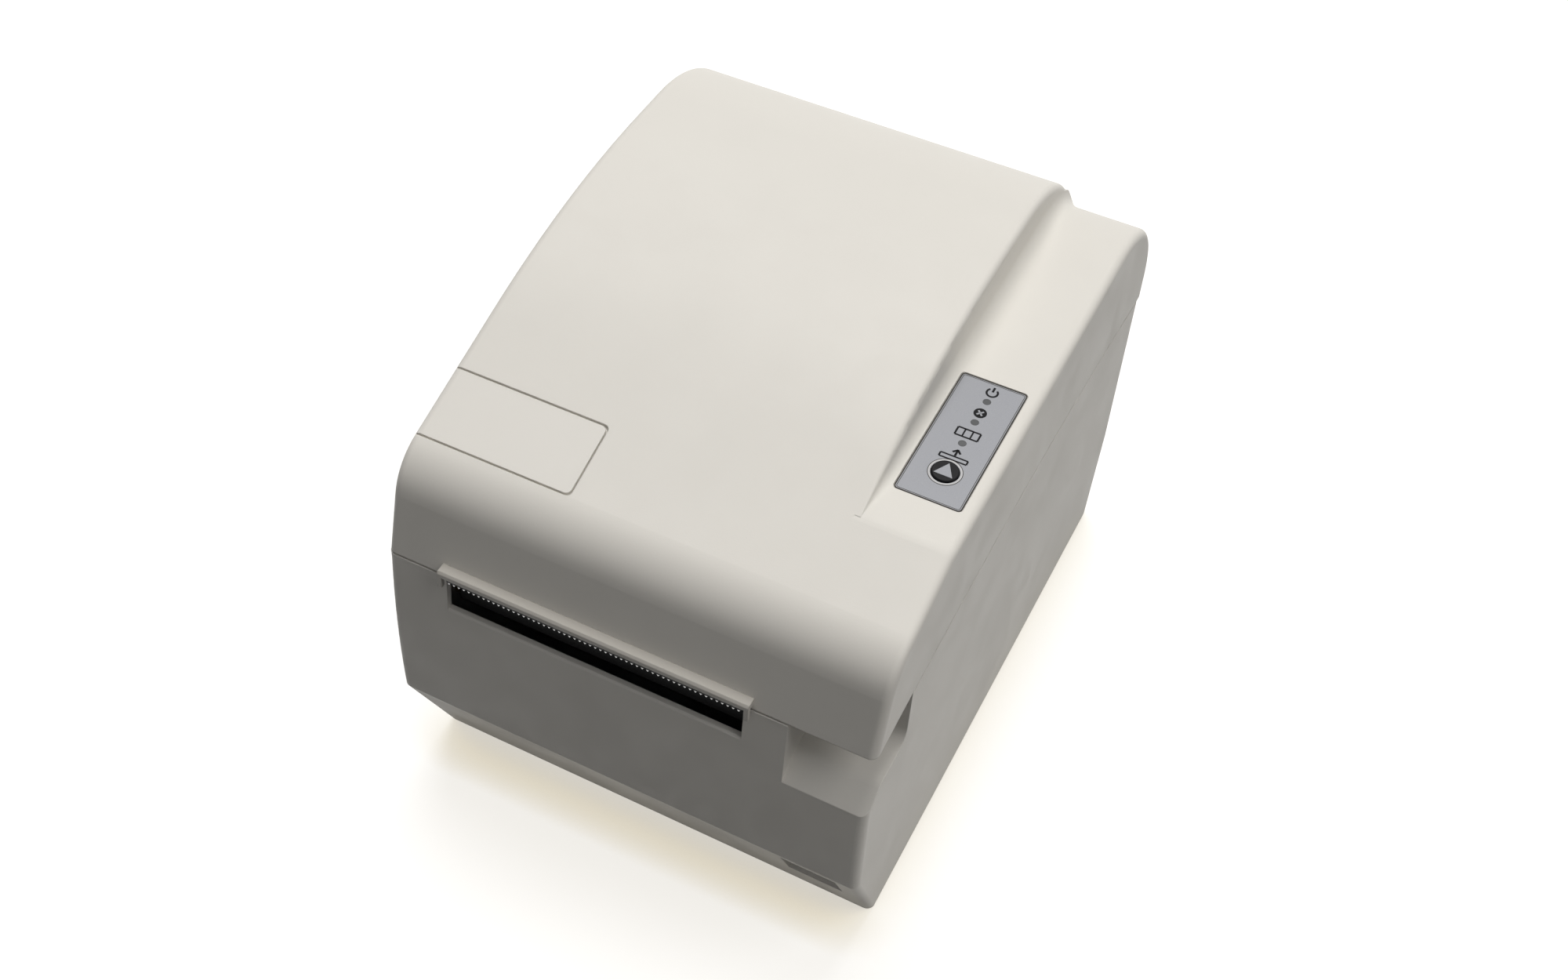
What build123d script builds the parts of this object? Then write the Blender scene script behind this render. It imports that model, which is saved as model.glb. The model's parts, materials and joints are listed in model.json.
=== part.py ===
from build123d import *
import math
import os

# Desktop label printer with a lid hinged at the rear.
# X is to the right, Y to the back and Z up. The origin is under the middle of the printer,
# on the surface that it stands on. All sizes are in millimetres.

os.makedirs("parts", exist_ok=True)

# Roll bay, which sets the width of the case together with the space on each side of it
bay_width = 124.0
bay_left_space = 16.0
bay_right_space = 38.0

# Outside of the case
case_width = bay_left_space + bay_width + bay_right_space
case_depth = 246.0
foot_height = 2.0
wall = 2.5
crease_z = 48.5
undercut = 23.5
side_taper = 1.2
front_bulge = 1.2
front_corner_radius = 3.0
rear_corner_radius = 6.0

# Seam between the case and the lid, seen from the side
seam_front_z = 119.4
seam_middle_z = 128.0
seam_rear_z = 121.0
seam_gap = 0.8
seam_relief_depth = 5.5
seam_relief_drop = 3.2

# Lid outline, seen from the side
lid_top_z = 189.5
brow_depth = 8.7
brow_z = 154.5
brow_radius = 22.0
crown_slope = 0.32
lid_flat = 19.0
lid_rear_radius = 59.0
lid_edge_radius = 3.0

# Lower strip along the right of the lid
step_from_bay = 6.3
step_edge_radius = 2.4
step_foot_radius = 5.0
strip_lap = 6.0
strip_front_depth = 49.3
strip_slope = 0.035
strip_crease_radius = 10.0
strip_rear_radius = 42.0

# Paper slot, tear guard and finger notch
media_edge = 1.0
slot_floor_z = 104.0
slot_lip = 1.2
guard_reach = 3.0
guard_overlap = 1.6
guard_bottom_z = 122.1
guard_height = 2.4
blade_drop = 4.8
blade_thickness = 0.6
tooth_pitch = 1.9
tooth_height = 1.2
notch_from_step = 2.0
notch_depth = 28.0
notch_lip_z = 92.0
notch_floor_z = 98.5
notch_ramp = 9.0
notch_radius = 6.0

# Feed path
platen_depth = 16.0
platen_z = 103.2
platen_radius = 8.0
media_gap = 0.4
shaft_radius = 3.0
running_clearance = 0.05
gear_module = 1.0
platen_teeth = 22
idler_small_teeth = 14
idler_big_teeth = 30
pinion_teeth = 12
motor_depth = 38.0
motor_z = 74.0
motor_radius = 21.0
motor_length = 22.0

# Roll bay and its sliding guides
bay_front_depth = 60.0
bay_rear_depth = 196.0
bay_floor_z = 42.0
bay_corner_radius = 50.0
bay_wall = 2.2
deck_top_z = 112.5
deck_thickness = 2.5
deck_front_depth = 33.0
deck_rear_space = 11.0
guide_side_gap = 2.0
guide_thickness = 4.0
narrowest_media = 27.0
roll_axis_z = 110.0
guide_pinion_teeth = 12

# Lid hinge
hinge_inset = 5.0
hinge_z = 116.0
hinge_pin_radius = 2.0
hinge_knuckle_radius = 4.3
hinge_arm_width = 12.0
hinge_spacing = 120.0
hinge_side_clearance = 0.3

# Control panel and name plate recesses
panel_margins = (3.6, 5.15)
panel_front_depth = 65.6
panel_length = 57.1
panel_thickness = 0.4
panel_recess = 0.5
button_radius = 4.5
button_gap = 0.25
button_depth = 79.0
button_from_panel = 12.1
button_stroke = 0.8
light_radius = 1.4
light_depths = {"paper_light": 92.9, "error_light": 103.3, "power_light": 113.6}
plate_width = 58.4
plate_front_depth = 20.9
plate_rear_depth = 46.0
plate_thickness = 1.2
plate_groove = 0.7

# General small sizes
touch_gap = 0.5
screw_radius = 1.5
screw_head_radius = 2.8
screw_head_height = 1.8
column_radius = 5.0
column_inset = 7.0
screw_inset = 7.8
column_front_depth = 38.0
column_rear_space = 20.0

# Places that follow from the sizes above
front_y = -(case_depth - guard_reach) / 2
half_width = case_width / 2
bay_left_x = bay_left_space - half_width
bay_right_x = half_width - bay_right_space
paper_middle_x = (bay_left_x + bay_right_x) / 2
media_width = bay_width - 2 * (guide_side_gap + guide_thickness)
slot_width = media_width - 2 * media_edge
guide_travel = (media_width - narrowest_media) / 2
bay_middle_depth = (bay_front_depth + bay_rear_depth) / 2
inner_rear_depth = case_depth - wall
deck_rear_depth = case_depth - deck_rear_space
column_rear_depth = case_depth - column_rear_space
column_x = half_width - column_inset
screw_x = half_width - screw_inset
hinge_depth = case_depth - hinge_inset
step_x = bay_right_x + step_from_bay
notch_left_x = step_x + notch_from_step
panel_left_x = step_x + panel_margins[0]
panel_width = half_width - panel_margins[1] - panel_left_x
button_x = panel_left_x + button_from_panel
plate_right_x = plate_width - half_width
slot_left_x = paper_middle_x - slot_width / 2
slot_right_x = paper_middle_x + slot_width / 2


def at(depth, z):
    """Point in a side view: depth behind the front face, and height."""
    return (front_y + depth, z)


def side_plane(x):
    """Plane seen from the right at a given x, with Y across and Z up."""
    return Plane.YZ.offset(x)


def axis_plane(x, depth, z):
    """Plane facing +X whose origin lies on an axis that runs along X."""
    return Plane(origin=(x, front_y + depth, z), x_dir=(0, 1, 0), z_dir=(1, 0, 0))


def save(piece, name):
    """Name a finished piece and write its file."""
    piece.part.label = name
    export_step(piece.part, f"parts/{name}.step")


def push(face, direction, amount, mode):
    """Thicken a finished sketch in a given direction, in the piece that is being made."""
    extrude(face.sketch, amount=amount, dir=direction, mode=mode)


def bar(x, depth, z, mode=Mode.ADD):
    """Block between two x values, two depths and two heights."""
    with BuildSketch(Plane.XY.offset(min(z))) as face:
        with Locations(((x[0] + x[1]) / 2, front_y + (depth[0] + depth[1]) / 2)):
            Rectangle(abs(x[1] - x[0]), abs(depth[1] - depth[0]))
    push(face, (0, 0, 1), abs(z[1] - z[0]), mode)


def rod(x, depth, z, radius, mode=Mode.ADD):
    """Cylinder along X between two x values."""
    with BuildSketch(axis_plane(min(x), depth, z)) as face:
        Circle(radius)
    push(face, (1, 0, 0), abs(x[1] - x[0]), mode)


def post(x, depth, z, radius, mode=Mode.ADD):
    """Upright cylinder between two heights."""
    with BuildSketch(Plane.XY.offset(min(z))) as face:
        with Locations((x, front_y + depth)):
            Circle(radius)
    push(face, (0, 0, 1), abs(z[1] - z[0]), mode)


def side_shape(x, points, mode=Mode.ADD):
    """Straight-sided outline in side view, thickened between two x values."""
    with BuildSketch(side_plane(min(x))) as face:
        with BuildLine():
            Polyline(*points, close=True)
        make_face()
    push(face, (1, 0, 0), abs(x[1] - x[0]), mode)


# Lid outline points, shared by the lid and everything that lies on it
lean = brow_depth / (brow_z - seam_front_z)
skirt_z = 100.0
skirt_depth = brow_depth - lean * (brow_z - skirt_z)
crown_angle = math.atan(crown_slope)
crown_depth = brow_depth + (lid_top_z - brow_z) / crown_slope
crown_reach = case_depth - lid_rear_radius - lid_flat - crown_depth
crown_radius = crown_reach / math.tan(crown_angle / 2)
strip_front_z = brow_z + crown_slope * (strip_front_depth - brow_depth)
strip_rear_z = strip_front_z + strip_slope * (case_depth - strip_front_depth)
main_corners = [
    at(skirt_depth, skirt_z),
    at(brow_depth, brow_z),
    at(crown_depth, lid_top_z),
    at(case_depth, lid_top_z),
    at(case_depth, skirt_z),
]
main_radii = [brow_radius, crown_radius, lid_rear_radius]
strip_corners = [
    at(skirt_depth, skirt_z),
    at(brow_depth, brow_z),
    at(strip_front_depth, strip_front_z),
    at(case_depth, strip_rear_z),
    at(case_depth, skirt_z),
]
strip_radii = [brow_radius, strip_crease_radius, strip_rear_radius]
strip_angle = math.atan(strip_slope)
crown_plane = Plane(
    origin=(0, front_y + brow_depth, brow_z),
    x_dir=(1, 0, 0),
    z_dir=(0, -math.sin(crown_angle), math.cos(crown_angle)),
)
strip_plane = Plane(
    origin=(0, front_y + strip_front_depth, strip_front_z),
    x_dir=(1, 0, 0),
    z_dir=(0, -math.sin(strip_angle), math.cos(strip_angle)),
)


def along_crown(depth):
    """Distance up the sloping front of the lid for a depth behind the front face."""
    return (depth - brow_depth) / math.cos(crown_angle)


def along_strip(depth):
    """Distance along the right strip for a depth behind the front face."""
    return (depth - strip_front_depth) / math.cos(strip_angle)


def lid_section(x, corners, radii, inset=0):
    """Face of the lid in side view at a given x, closed along its foot."""
    with BuildSketch(side_plane(x)) as face:
        with BuildLine():
            FilletPolyline(*corners, radius=radii)
            Line(corners[-1], corners[0])
        make_face()
        if inset:
            offset(amount=-inset)
    return face


def seam_section(lift, relief):
    """Face below the seam in side view, with the hollow behind the hinge."""
    drop = seam_relief_drop if relief else 0
    relief_depth = case_depth - seam_relief_depth
    reach = 12.0
    with BuildSketch(side_plane(-half_width - 1)) as face:
        with BuildLine():
            Line(at(-reach, seam_front_z + lift), at(0, seam_front_z + lift))
            ThreePointArc(
                at(0, seam_front_z + lift),
                at(case_depth / 2, seam_middle_z + lift),
                at(relief_depth, seam_rear_z + lift),
            )
            Polyline(
                at(relief_depth, seam_rear_z + lift),
                at(case_depth, seam_rear_z + lift - drop),
                at(case_depth + reach, seam_rear_z + lift - drop),
                at(case_depth + reach, -reach),
                at(-reach, -reach),
                at(-reach, seam_front_z + lift),
            )
        make_face()
    return face


# Lower case: open tub of moulded plastic with the slot, the notch and four inner columns
case_rim_z = 140.0
swell_top_z = 116.0
bulge_z = (crease_z + swell_top_z) / 2
hinge_middles = [-hinge_spacing / 2, hinge_spacing / 2]
lug_thickness = 5.0
hinge_reach = hinge_arm_width / 2 + hinge_side_clearance + lug_thickness
lug_foot_z = 106.0
arm_slot_z = 108.5
port_window_x = half_width - 25.0
port_window_z = [17.0, 45.0]
plate_top_z = 4.5
column_top_z = deck_top_z - deck_thickness
columns = [
    (side * column_x, depth) for side in (-1, 1) for depth in (column_front_depth, column_rear_depth)
]
column_screws = [
    (side * screw_x, depth) for side in (-1, 1) for depth in (column_front_depth, column_rear_depth)
]
recess_x = [notch_left_x + 0.8, half_width - 8.6]
recess_from_crease = 4.5
recess_height = 20.5
recess_depth = 1.6
undercut_angle = math.atan2(crease_z - foot_height, undercut)
undercut_plane = Plane(
    origin=(0, front_y, crease_z),
    x_dir=(1, 0, 0),
    z_dir=(0, -math.sin(undercut_angle), -math.cos(undercut_angle)),
)


def case_level(height, inset):
    """Outline of the case at one height: tapering base, swelling front, round corners."""
    share = max(0, (crease_z - height) / (crease_z - foot_height))
    swell = front_bulge * max(0, 1 - ((height - bulge_z) / (swell_top_z - bulge_z)) ** 2)
    front = undercut * share - swell + inset
    rear = case_depth - inset
    with BuildSketch(Plane.XY.offset(height)) as face:
        with Locations((0, front_y + (front + rear) / 2)):
            Rectangle(2 * (half_width - side_taper * share - inset), rear - front)
        fillet(face.vertices().group_by(Axis.Y)[0], max(0.8, front_corner_radius - inset))
        fillet(face.vertices().group_by(Axis.Y)[-1], rear_corner_radius - inset)
    return face.sketch


def notch_section(grow):
    """Side view of the finger notch: a ramp up from its lip and a round rear corner."""
    reach = 10.0
    climb = (notch_floor_z - notch_lip_z) / notch_ramp
    lip = at(-reach, notch_lip_z - climb * reach - 1.2 * grow)
    with BuildSketch(side_plane(notch_left_x - grow)) as face:
        with BuildLine():
            FilletPolyline(
                lip,
                at(notch_ramp, notch_floor_z - grow),
                at(notch_depth + grow, notch_floor_z - grow),
                at(notch_depth + grow, case_rim_z + 2),
                radius=[notch_radius, notch_radius + grow],
            )
            Polyline(at(notch_depth + grow, case_rim_z + 2), at(-reach, case_rim_z + 2), lip)
        make_face()
    return face


with BuildPart() as case_hollow:
    loft([case_level(foot_height - 1, wall), case_level(crease_z, wall)])
    loft([case_level(crease_z, wall), case_level(bulge_z, wall), case_level(swell_top_z, wall)])
    extrude(case_level(swell_top_z, wall), amount=case_rim_z + 1 - swell_top_z)
    push(notch_section(wall), (1, 0, 0), half_width, Mode.SUBTRACT)

with BuildPart() as lower_case:
    loft([case_level(foot_height, 0), case_level(crease_z, 0)])
    loft([case_level(crease_z, 0), case_level(bulge_z, 0), case_level(swell_top_z, 0)])
    extrude(case_level(swell_top_z, 0), amount=case_rim_z - swell_top_z)
    push(notch_section(0), (1, 0, 0), half_width, Mode.SUBTRACT)
    add(case_hollow.part, mode=Mode.SUBTRACT)
    for x, depth in columns:
        post(x, depth, (plate_top_z, column_top_z), column_radius)
    for middle in hinge_middles:
        for side in (-1, 1):
            inner = middle + side * (hinge_arm_width / 2 + hinge_side_clearance)
            span = (inner, inner + side * lug_thickness)
            rod(span, hinge_depth, hinge_z, hinge_knuckle_radius)
            bar(span, (hinge_depth - hinge_knuckle_radius, case_depth - wall + 0.5), (lug_foot_z, hinge_z))
    push(seam_section(0, True), (1, 0, 0), case_width + 2, Mode.INTERSECT)
    for middle in hinge_middles:
        gap = hinge_arm_width / 2 + hinge_side_clearance
        bar(
            (middle - gap, middle + gap),
            (hinge_depth - 8, case_depth + 2),
            (arm_slot_z, case_rim_z),
            Mode.SUBTRACT,
        )
        rod(
            (middle - hinge_reach, middle + hinge_reach),
            hinge_depth,
            hinge_z,
            hinge_pin_radius,
            Mode.SUBTRACT,
        )
    bar((slot_left_x, slot_right_x), (-4, 5), (slot_floor_z, case_rim_z), Mode.SUBTRACT)
    side_shape(
        (slot_left_x, slot_right_x),
        [
            at(-4, slot_floor_z - slot_lip - 4 + front_bulge),
            at(slot_lip - front_bulge, slot_floor_z),
            at(slot_lip - front_bulge, slot_floor_z + 1),
            at(-4, slot_floor_z + 1),
        ],
        Mode.SUBTRACT,
    )
    bar(
        (-port_window_x, port_window_x),
        (case_depth - wall - 1, case_depth + 2),
        port_window_z,
        Mode.SUBTRACT,
    )
    for x, depth in column_screws:
        post(x, depth, (plate_top_z - 1, plate_top_z + 10), screw_radius, Mode.SUBTRACT)
        post(x, depth, (column_top_z - 10, column_top_z + 1), screw_radius, Mode.SUBTRACT)
    with BuildSketch(undercut_plane):
        with Locations(((recess_x[0] + recess_x[1]) / 2, -recess_from_crease - recess_height / 2)):
            Rectangle(recess_x[1] - recess_x[0], recess_height)
    extrude(amount=-recess_depth, mode=Mode.SUBTRACT)
save(lower_case, "lower_case")


def screws(places, face_z, tip_z):
    """Upright screws with their heads on a face; the tip may point up or down."""
    lift = screw_head_height if tip_z < face_z else -screw_head_height
    with BuildPart() as group:
        for x, depth in places:
            post(x, depth, (face_z, face_z + lift), screw_head_radius)
            post(x, depth, (face_z, tip_z), screw_radius)
            post(x, depth, (face_z + 0.55 * lift, face_z + 2 * lift), 1.1, Mode.SUBTRACT)
    return group


# Base plate that closes the case from below, with its feet and screws
plate_gap = 0.4
foot_x = half_width - 23.0
foot_places = [(side * foot_x, depth) for side in (-1, 1) for depth in (52.0, case_depth - 26.0)]
foot_radius = 9.0
foot_recess = 1.0
standoff_top_z = 14.0
board_half_x = half_width - 13.0
board_depths = [100.0, case_depth - 12.0]
board_hole_edges = (4.0, 6.0)
board_places = [
    (side * (board_half_x - board_hole_edges[0]), depth)
    for side in (-1, 1)
    for depth in (board_depths[0] + board_hole_edges[1], board_depths[1] - board_hole_edges[1])
]
with BuildPart() as base_plate:
    extrude(case_level(foot_height, wall + plate_gap), amount=plate_top_z - foot_height)
    for x, depth in column_screws:
        post(x, depth, (foot_height, foot_height + screw_head_height), screw_head_radius, Mode.SUBTRACT)
        post(x, depth, (foot_height, plate_top_z), screw_radius, Mode.SUBTRACT)
    for x, depth in foot_places:
        post(x, depth, (foot_height, foot_height + foot_recess), foot_radius, Mode.SUBTRACT)
    for x, depth in board_places:
        post(x, depth, (plate_top_z, standoff_top_z), 3.2)
        post(x, depth, (standoff_top_z - 7, standoff_top_z), screw_radius, Mode.SUBTRACT)
save(base_plate, "base_plate")

with BuildPart() as rubber_feet:
    for x, depth in foot_places:
        post(x, depth, (0, foot_height + foot_recess), foot_radius)
    chamfer(rubber_feet.edges().group_by(Axis.Z)[0], 0.6)
save(rubber_feet, "rubber_feet")

case_screws = screws(column_screws, foot_height + screw_head_height, plate_top_z + 9)
save(case_screws, "case_screws")

# Deck and roll bay, one moulded tray that hangs between the columns
deck_gap = 0.6
post_width = 8.0
post_depths = [bay_middle_depth - 10.4, bay_middle_depth - 7.4]
left_post_start = paper_middle_x - media_width / 2 + 1.0
left_post_x = [left_post_start, left_post_start + post_width]
slot_margin = 1.0
pinion_pitch_radius = gear_module * guide_pinion_teeth / 2
rack_z = [31.5, 35.5]
axle_radius = 2.0
sensor_travel = slot_width / 2 - 15.0
sensor_depths = [42.2, 46.8]


def mirror_x(x):
    """The x value of the matching feature on the other side of the paper."""
    return 2 * paper_middle_x - x


def mirror_depth(depth):
    """The depth of the matching feature on the other side of the roll axis."""
    return 2 * bay_middle_depth - depth


def trough(x, grow, mode):
    """Rounded trough of the roll bay, open at the top, between two x values."""
    front, rear = bay_front_depth - grow, bay_rear_depth + grow
    top = deck_top_z if grow else deck_top_z + 1
    with BuildSketch(side_plane(min(x))) as face:
        with BuildLine():
            FilletPolyline(
                at(front, top),
                at(front, bay_floor_z - grow),
                at(rear, bay_floor_z - grow),
                at(rear, top),
                radius=bay_corner_radius + grow,
            )
            Line(at(rear, top), at(front, top))
        make_face()
    push(face, (1, 0, 0), abs(x[1] - x[0]), mode)


with BuildPart() as media_bay:
    deck_half = half_width - wall - deck_gap
    bar(
        (-deck_half, deck_half),
        (deck_front_depth, deck_rear_depth),
        (column_top_z, deck_top_z),
    )
    trough((bay_left_x - bay_wall, bay_right_x + bay_wall), bay_wall, Mode.ADD)
    trough((bay_left_x, bay_right_x), 0, Mode.SUBTRACT)
    slot_x = [left_post_x[0] - slot_margin, left_post_x[1] + guide_travel + slot_margin]
    slot_depth = [post_depths[0] - 0.4, post_depths[1] + 0.4]
    bar(slot_x, slot_depth, (bay_floor_z - 4, bay_floor_z + 2), Mode.SUBTRACT)
    bar(
        [mirror_x(x) for x in slot_x],
        [mirror_depth(depth) for depth in slot_depth],
        (bay_floor_z - 4, bay_floor_z + 2),
        Mode.SUBTRACT,
    )
    post(paper_middle_x, bay_middle_depth, (rack_z[0] - 1, bay_floor_z - 1), axle_radius)
    bar(
        (paper_middle_x - 7 - sensor_travel, paper_middle_x + 7 + sensor_travel),
        (sensor_depths[0] - 0.2, sensor_depths[1] + 0.2),
        (column_top_z - 1, deck_top_z + 1),
        Mode.SUBTRACT,
    )
    for x, depth in column_screws:
        post(x, depth, (column_top_z - 1, deck_top_z + 1), screw_radius, Mode.SUBTRACT)
save(media_bay, "media_bay")

bay_screws = screws(column_screws, deck_top_z, column_top_z - 9)
save(bay_screws, "bay_screws")

# Gears with stub involute teeth
pressure_angle = math.radians(25)
tooth_slack = 0.1


def involute(angle):
    """Involute of an angle, in radians."""
    return math.tan(angle) - angle


def gear_outline(teeth, phase):
    """Points round a gear whose first tooth points at the given phase angle."""
    pitch_radius = gear_module * teeth / 2
    base_radius = pitch_radius * math.cos(pressure_angle)
    root_radius = pitch_radius - 1.1 * gear_module
    tip_radius = pitch_radius + 0.8 * gear_module
    pitch_half = (math.pi * gear_module / 2 - tooth_slack) / (2 * pitch_radius)
    start_radius = max(base_radius, root_radius) + 0.001
    flank = []
    for step in range(5):
        radius = start_radius + (tip_radius - start_radius) * step / 4
        roll = math.acos(base_radius / radius)
        flank.append((radius, pitch_half + involute(pressure_angle) - involute(roll)))
    if root_radius < start_radius - 0.01:
        flank.insert(0, (root_radius, flank[0][1]))
    points = []
    for tooth in range(teeth):
        middle = phase + 2 * math.pi * tooth / teeth
        sides = [(radius, middle - half) for radius, half in flank]
        sides += [(radius, middle + half) for radius, half in reversed(flank)]
        points += [(radius * math.cos(turn), radius * math.sin(turn)) for radius, turn in sides]
    return points


def gear(plane, teeth, phase, thickness, bore):
    """Gear standing on a plane, with a round bore."""
    with BuildSketch(plane) as face:
        with BuildLine():
            Polyline(*gear_outline(teeth, phase), close=True)
        make_face()
        if bore:
            Circle(bore, mode=Mode.SUBTRACT)
    extrude(face.sketch, amount=thickness)


def rack_teeth(middles, pitch_y, side, height, thickness):
    """Straight teeth along X on a rack; side is 1 when they point to the rear."""
    half = (math.pi * gear_module / 2 - tooth_slack) / 2
    root, tip = 1.1 * gear_module, 0.8 * gear_module
    lean_out = math.tan(pressure_angle)
    with BuildSketch(Plane.XY.offset(height)) as face:
        for middle in middles:
            with BuildLine():
                Polyline(
                    (middle - half - (root + 0.3) * lean_out, pitch_y - side * (root + 0.3)),
                    (middle + half + (root + 0.3) * lean_out, pitch_y - side * (root + 0.3)),
                    (middle + half - tip * lean_out, pitch_y + side * tip),
                    (middle - half + tip * lean_out, pitch_y + side * tip),
                    close=True,
                )
            make_face()
    extrude(face.sketch, amount=thickness)


# Sliding roll guides, joined under the bay by two racks and one pinion
guide_foot_z = bay_floor_z + 0.2
guide_foot_height = 4.0
disc_radius = 25.0
hub_radius = 12.0
hub_length = 8.0
upright_half = 20.0


def roll_guide(x_of, depth_of):
    """Plate with a round head, a hub for the roll core and a foot."""
    outer = paper_middle_x - media_width / 2 - guide_thickness
    inner = outer + guide_thickness
    with BuildPart() as guide:
        rod((x_of(outer), x_of(inner)), bay_middle_depth, roll_axis_z, disc_radius)
        bar(
            (x_of(outer), x_of(inner)),
            (bay_middle_depth - upright_half, bay_middle_depth + upright_half),
            (guide_foot_z, roll_axis_z - 12),
        )
        rod((x_of(inner), x_of(inner + hub_length)), bay_middle_depth, roll_axis_z, hub_radius)
        bar(
            (x_of(outer), x_of(inner + 16)),
            (depth_of(bay_middle_depth - 18), depth_of(bay_middle_depth - 1)),
            (guide_foot_z, guide_foot_z + guide_foot_height),
        )
    return guide


def guide_rack(x_of, depth_of, side):
    """Post through the bay floor and a toothed bar under it."""
    pitch_depth = depth_of(bay_middle_depth - pinion_pitch_radius)
    back_depth = depth_of(post_depths[0])
    bar_end = paper_middle_x + 8
    pitch = math.pi * gear_module
    reach = math.floor((bar_end - left_post_x[1]) / pitch) - 1
    with BuildPart() as rack:
        bar(
            (x_of(left_post_x[0]), x_of(left_post_x[1])),
            [depth_of(depth) for depth in post_depths],
            (rack_z[0], guide_foot_z),
        )
        bar(
            (x_of(left_post_x[0]), x_of(bar_end)),
            (back_depth, pitch_depth - side * 1.1 * gear_module),
            rack_z,
        )
        rack_teeth(
            [x_of(paper_middle_x + pitch * (1.5 - step)) for step in range(reach)],
            front_y + pitch_depth,
            side,
            rack_z[0],
            rack_z[1] - rack_z[0],
        )
    return rack


def same(value):
    """Leave a position as it is, for the left-hand guide."""
    return value


left_roll_guide = roll_guide(same, same)
save(left_roll_guide, "left_roll_guide")
right_roll_guide = roll_guide(mirror_x, mirror_depth)
save(right_roll_guide, "right_roll_guide")
left_guide_rack = guide_rack(same, same, 1)
save(left_guide_rack, "left_guide_rack")
right_guide_rack = guide_rack(mirror_x, mirror_depth, -1)
save(right_guide_rack, "right_guide_rack")

with BuildPart() as guide_pinion:
    gear(
        Plane.XY.offset(rack_z[0]).move(Location((paper_middle_x, front_y + bay_middle_depth, 0))),
        guide_pinion_teeth,
        math.pi / 2,
        rack_z[1] - rack_z[0],
        axle_radius + running_clearance,
    )
save(guide_pinion, "guide_pinion")

with BuildPart() as pinion_clip:
    post(paper_middle_x, bay_middle_depth, (rack_z[0] - 0.9, rack_z[0] - 0.1), 4.0)
    post(paper_middle_x, bay_middle_depth, (rack_z[0] - 2, rack_z[0]), axle_radius, Mode.SUBTRACT)
save(pinion_clip, "pinion_clip")

# Feed frame: folded sheet that carries the platen, the idler and the motor
sheet = 1.5
cheek_gap = 3.5
left_cheek_x = [slot_left_x - cheek_gap - sheet, slot_left_x - cheek_gap]
right_cheek_x = [slot_right_x + 2.5, slot_right_x + 2.5 + sheet]
frame_front_depth = 6.0
frame_rear_depth = 56.0
frame_floor_depth = 14.0
frame_bottom_z = 50.0
bushing_radius = 5.0
motor_flange = 1.5
platen_axis = (platen_depth, platen_z)
motor_axis = (motor_depth, motor_z)
platen_idler = gear_module * (platen_teeth + idler_small_teeth) / 2
motor_idler = gear_module * (idler_big_teeth + pinion_teeth) / 2
span_depth = motor_depth - platen_depth
span_z = motor_z - platen_z
span = math.hypot(span_depth, span_z)
share = (platen_idler**2 - motor_idler**2 + span**2) / (2 * span)
rise = math.sqrt(platen_idler**2 - share**2)
idler_axis = (
    platen_depth + (share * span_depth + rise * span_z) / span,
    platen_z + (share * span_z - rise * span_depth) / span,
)
idler_axle_radius = 2.5
motor_shaft_radius = 2.0
platen_gear_x = [right_cheek_x[1] + 1.5, right_cheek_x[1] + 4.5]
idler_big_x = [platen_gear_x[1] + 0.5, platen_gear_x[1] + 3.0]
pinion_x = [platen_gear_x[1] + 0.5, platen_gear_x[1] + 3.5]
motor_x = [right_cheek_x[0] - motor_flange - motor_length, right_cheek_x[0] - motor_flange]
flange_places = [
    (left_cheek_x[0] - 3.5, 42.0),
    (left_cheek_x[0] - 3.5, 52.0),
    (right_cheek_x[1] + 3.8, 43.5),
    (right_cheek_x[1] + 3.8, 52.0),
]
motor_screw_places = [(motor_depth, motor_z + 17.5), (motor_depth, motor_z - 17.5)]

with BuildPart() as feed_frame:
    for cheek in (left_cheek_x, right_cheek_x):
        bar(cheek, (frame_front_depth, frame_rear_depth), (frame_bottom_z, column_top_z))
        rod((cheek[0] - 1, cheek[1] + 1), *platen_axis, bushing_radius, Mode.SUBTRACT)
    bar(
        (left_cheek_x[0], right_cheek_x[1]),
        (frame_floor_depth, frame_rear_depth),
        (frame_bottom_z, frame_bottom_z + sheet),
    )
    bar(
        (left_cheek_x[0] - 7, left_cheek_x[0]),
        (38.0, frame_rear_depth),
        (column_top_z - sheet, column_top_z),
    )
    bar(
        (right_cheek_x[1], right_cheek_x[1] + 7),
        (39.5, frame_rear_depth),
        (column_top_z - sheet, column_top_z),
    )
    through = (right_cheek_x[0] - 1, right_cheek_x[1] + 1)
    rod(through, *motor_axis, 5.0, Mode.SUBTRACT)
    rod(through, *idler_axis, idler_axle_radius, Mode.SUBTRACT)
    for depth, height in motor_screw_places:
        rod(through, depth, height, screw_radius, Mode.SUBTRACT)
    for x, depth in flange_places:
        post(x, depth, (column_top_z - 3, column_top_z + 1), screw_radius, Mode.SUBTRACT)
save(feed_frame, "feed_frame")

frame_screws = screws(flange_places, column_top_z - sheet, column_top_z)
save(frame_screws, "frame_screws")

with BuildPart() as platen_bushings:
    rod((left_cheek_x[0] - 1, left_cheek_x[1]), *platen_axis, bushing_radius)
    rod((left_cheek_x[1], left_cheek_x[1] + 1.5), *platen_axis, bushing_radius + 1.5)
    rod((right_cheek_x[0], right_cheek_x[1] + 0.5), *platen_axis, bushing_radius)
    rod((right_cheek_x[0] - 1.2, right_cheek_x[0]), *platen_axis, bushing_radius + 1.5)
    rod(
        (left_cheek_x[0] - 2, right_cheek_x[1] + 2),
        *platen_axis,
        shaft_radius + running_clearance,
        Mode.SUBTRACT,
    )
save(platen_bushings, "platen_bushings")

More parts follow.
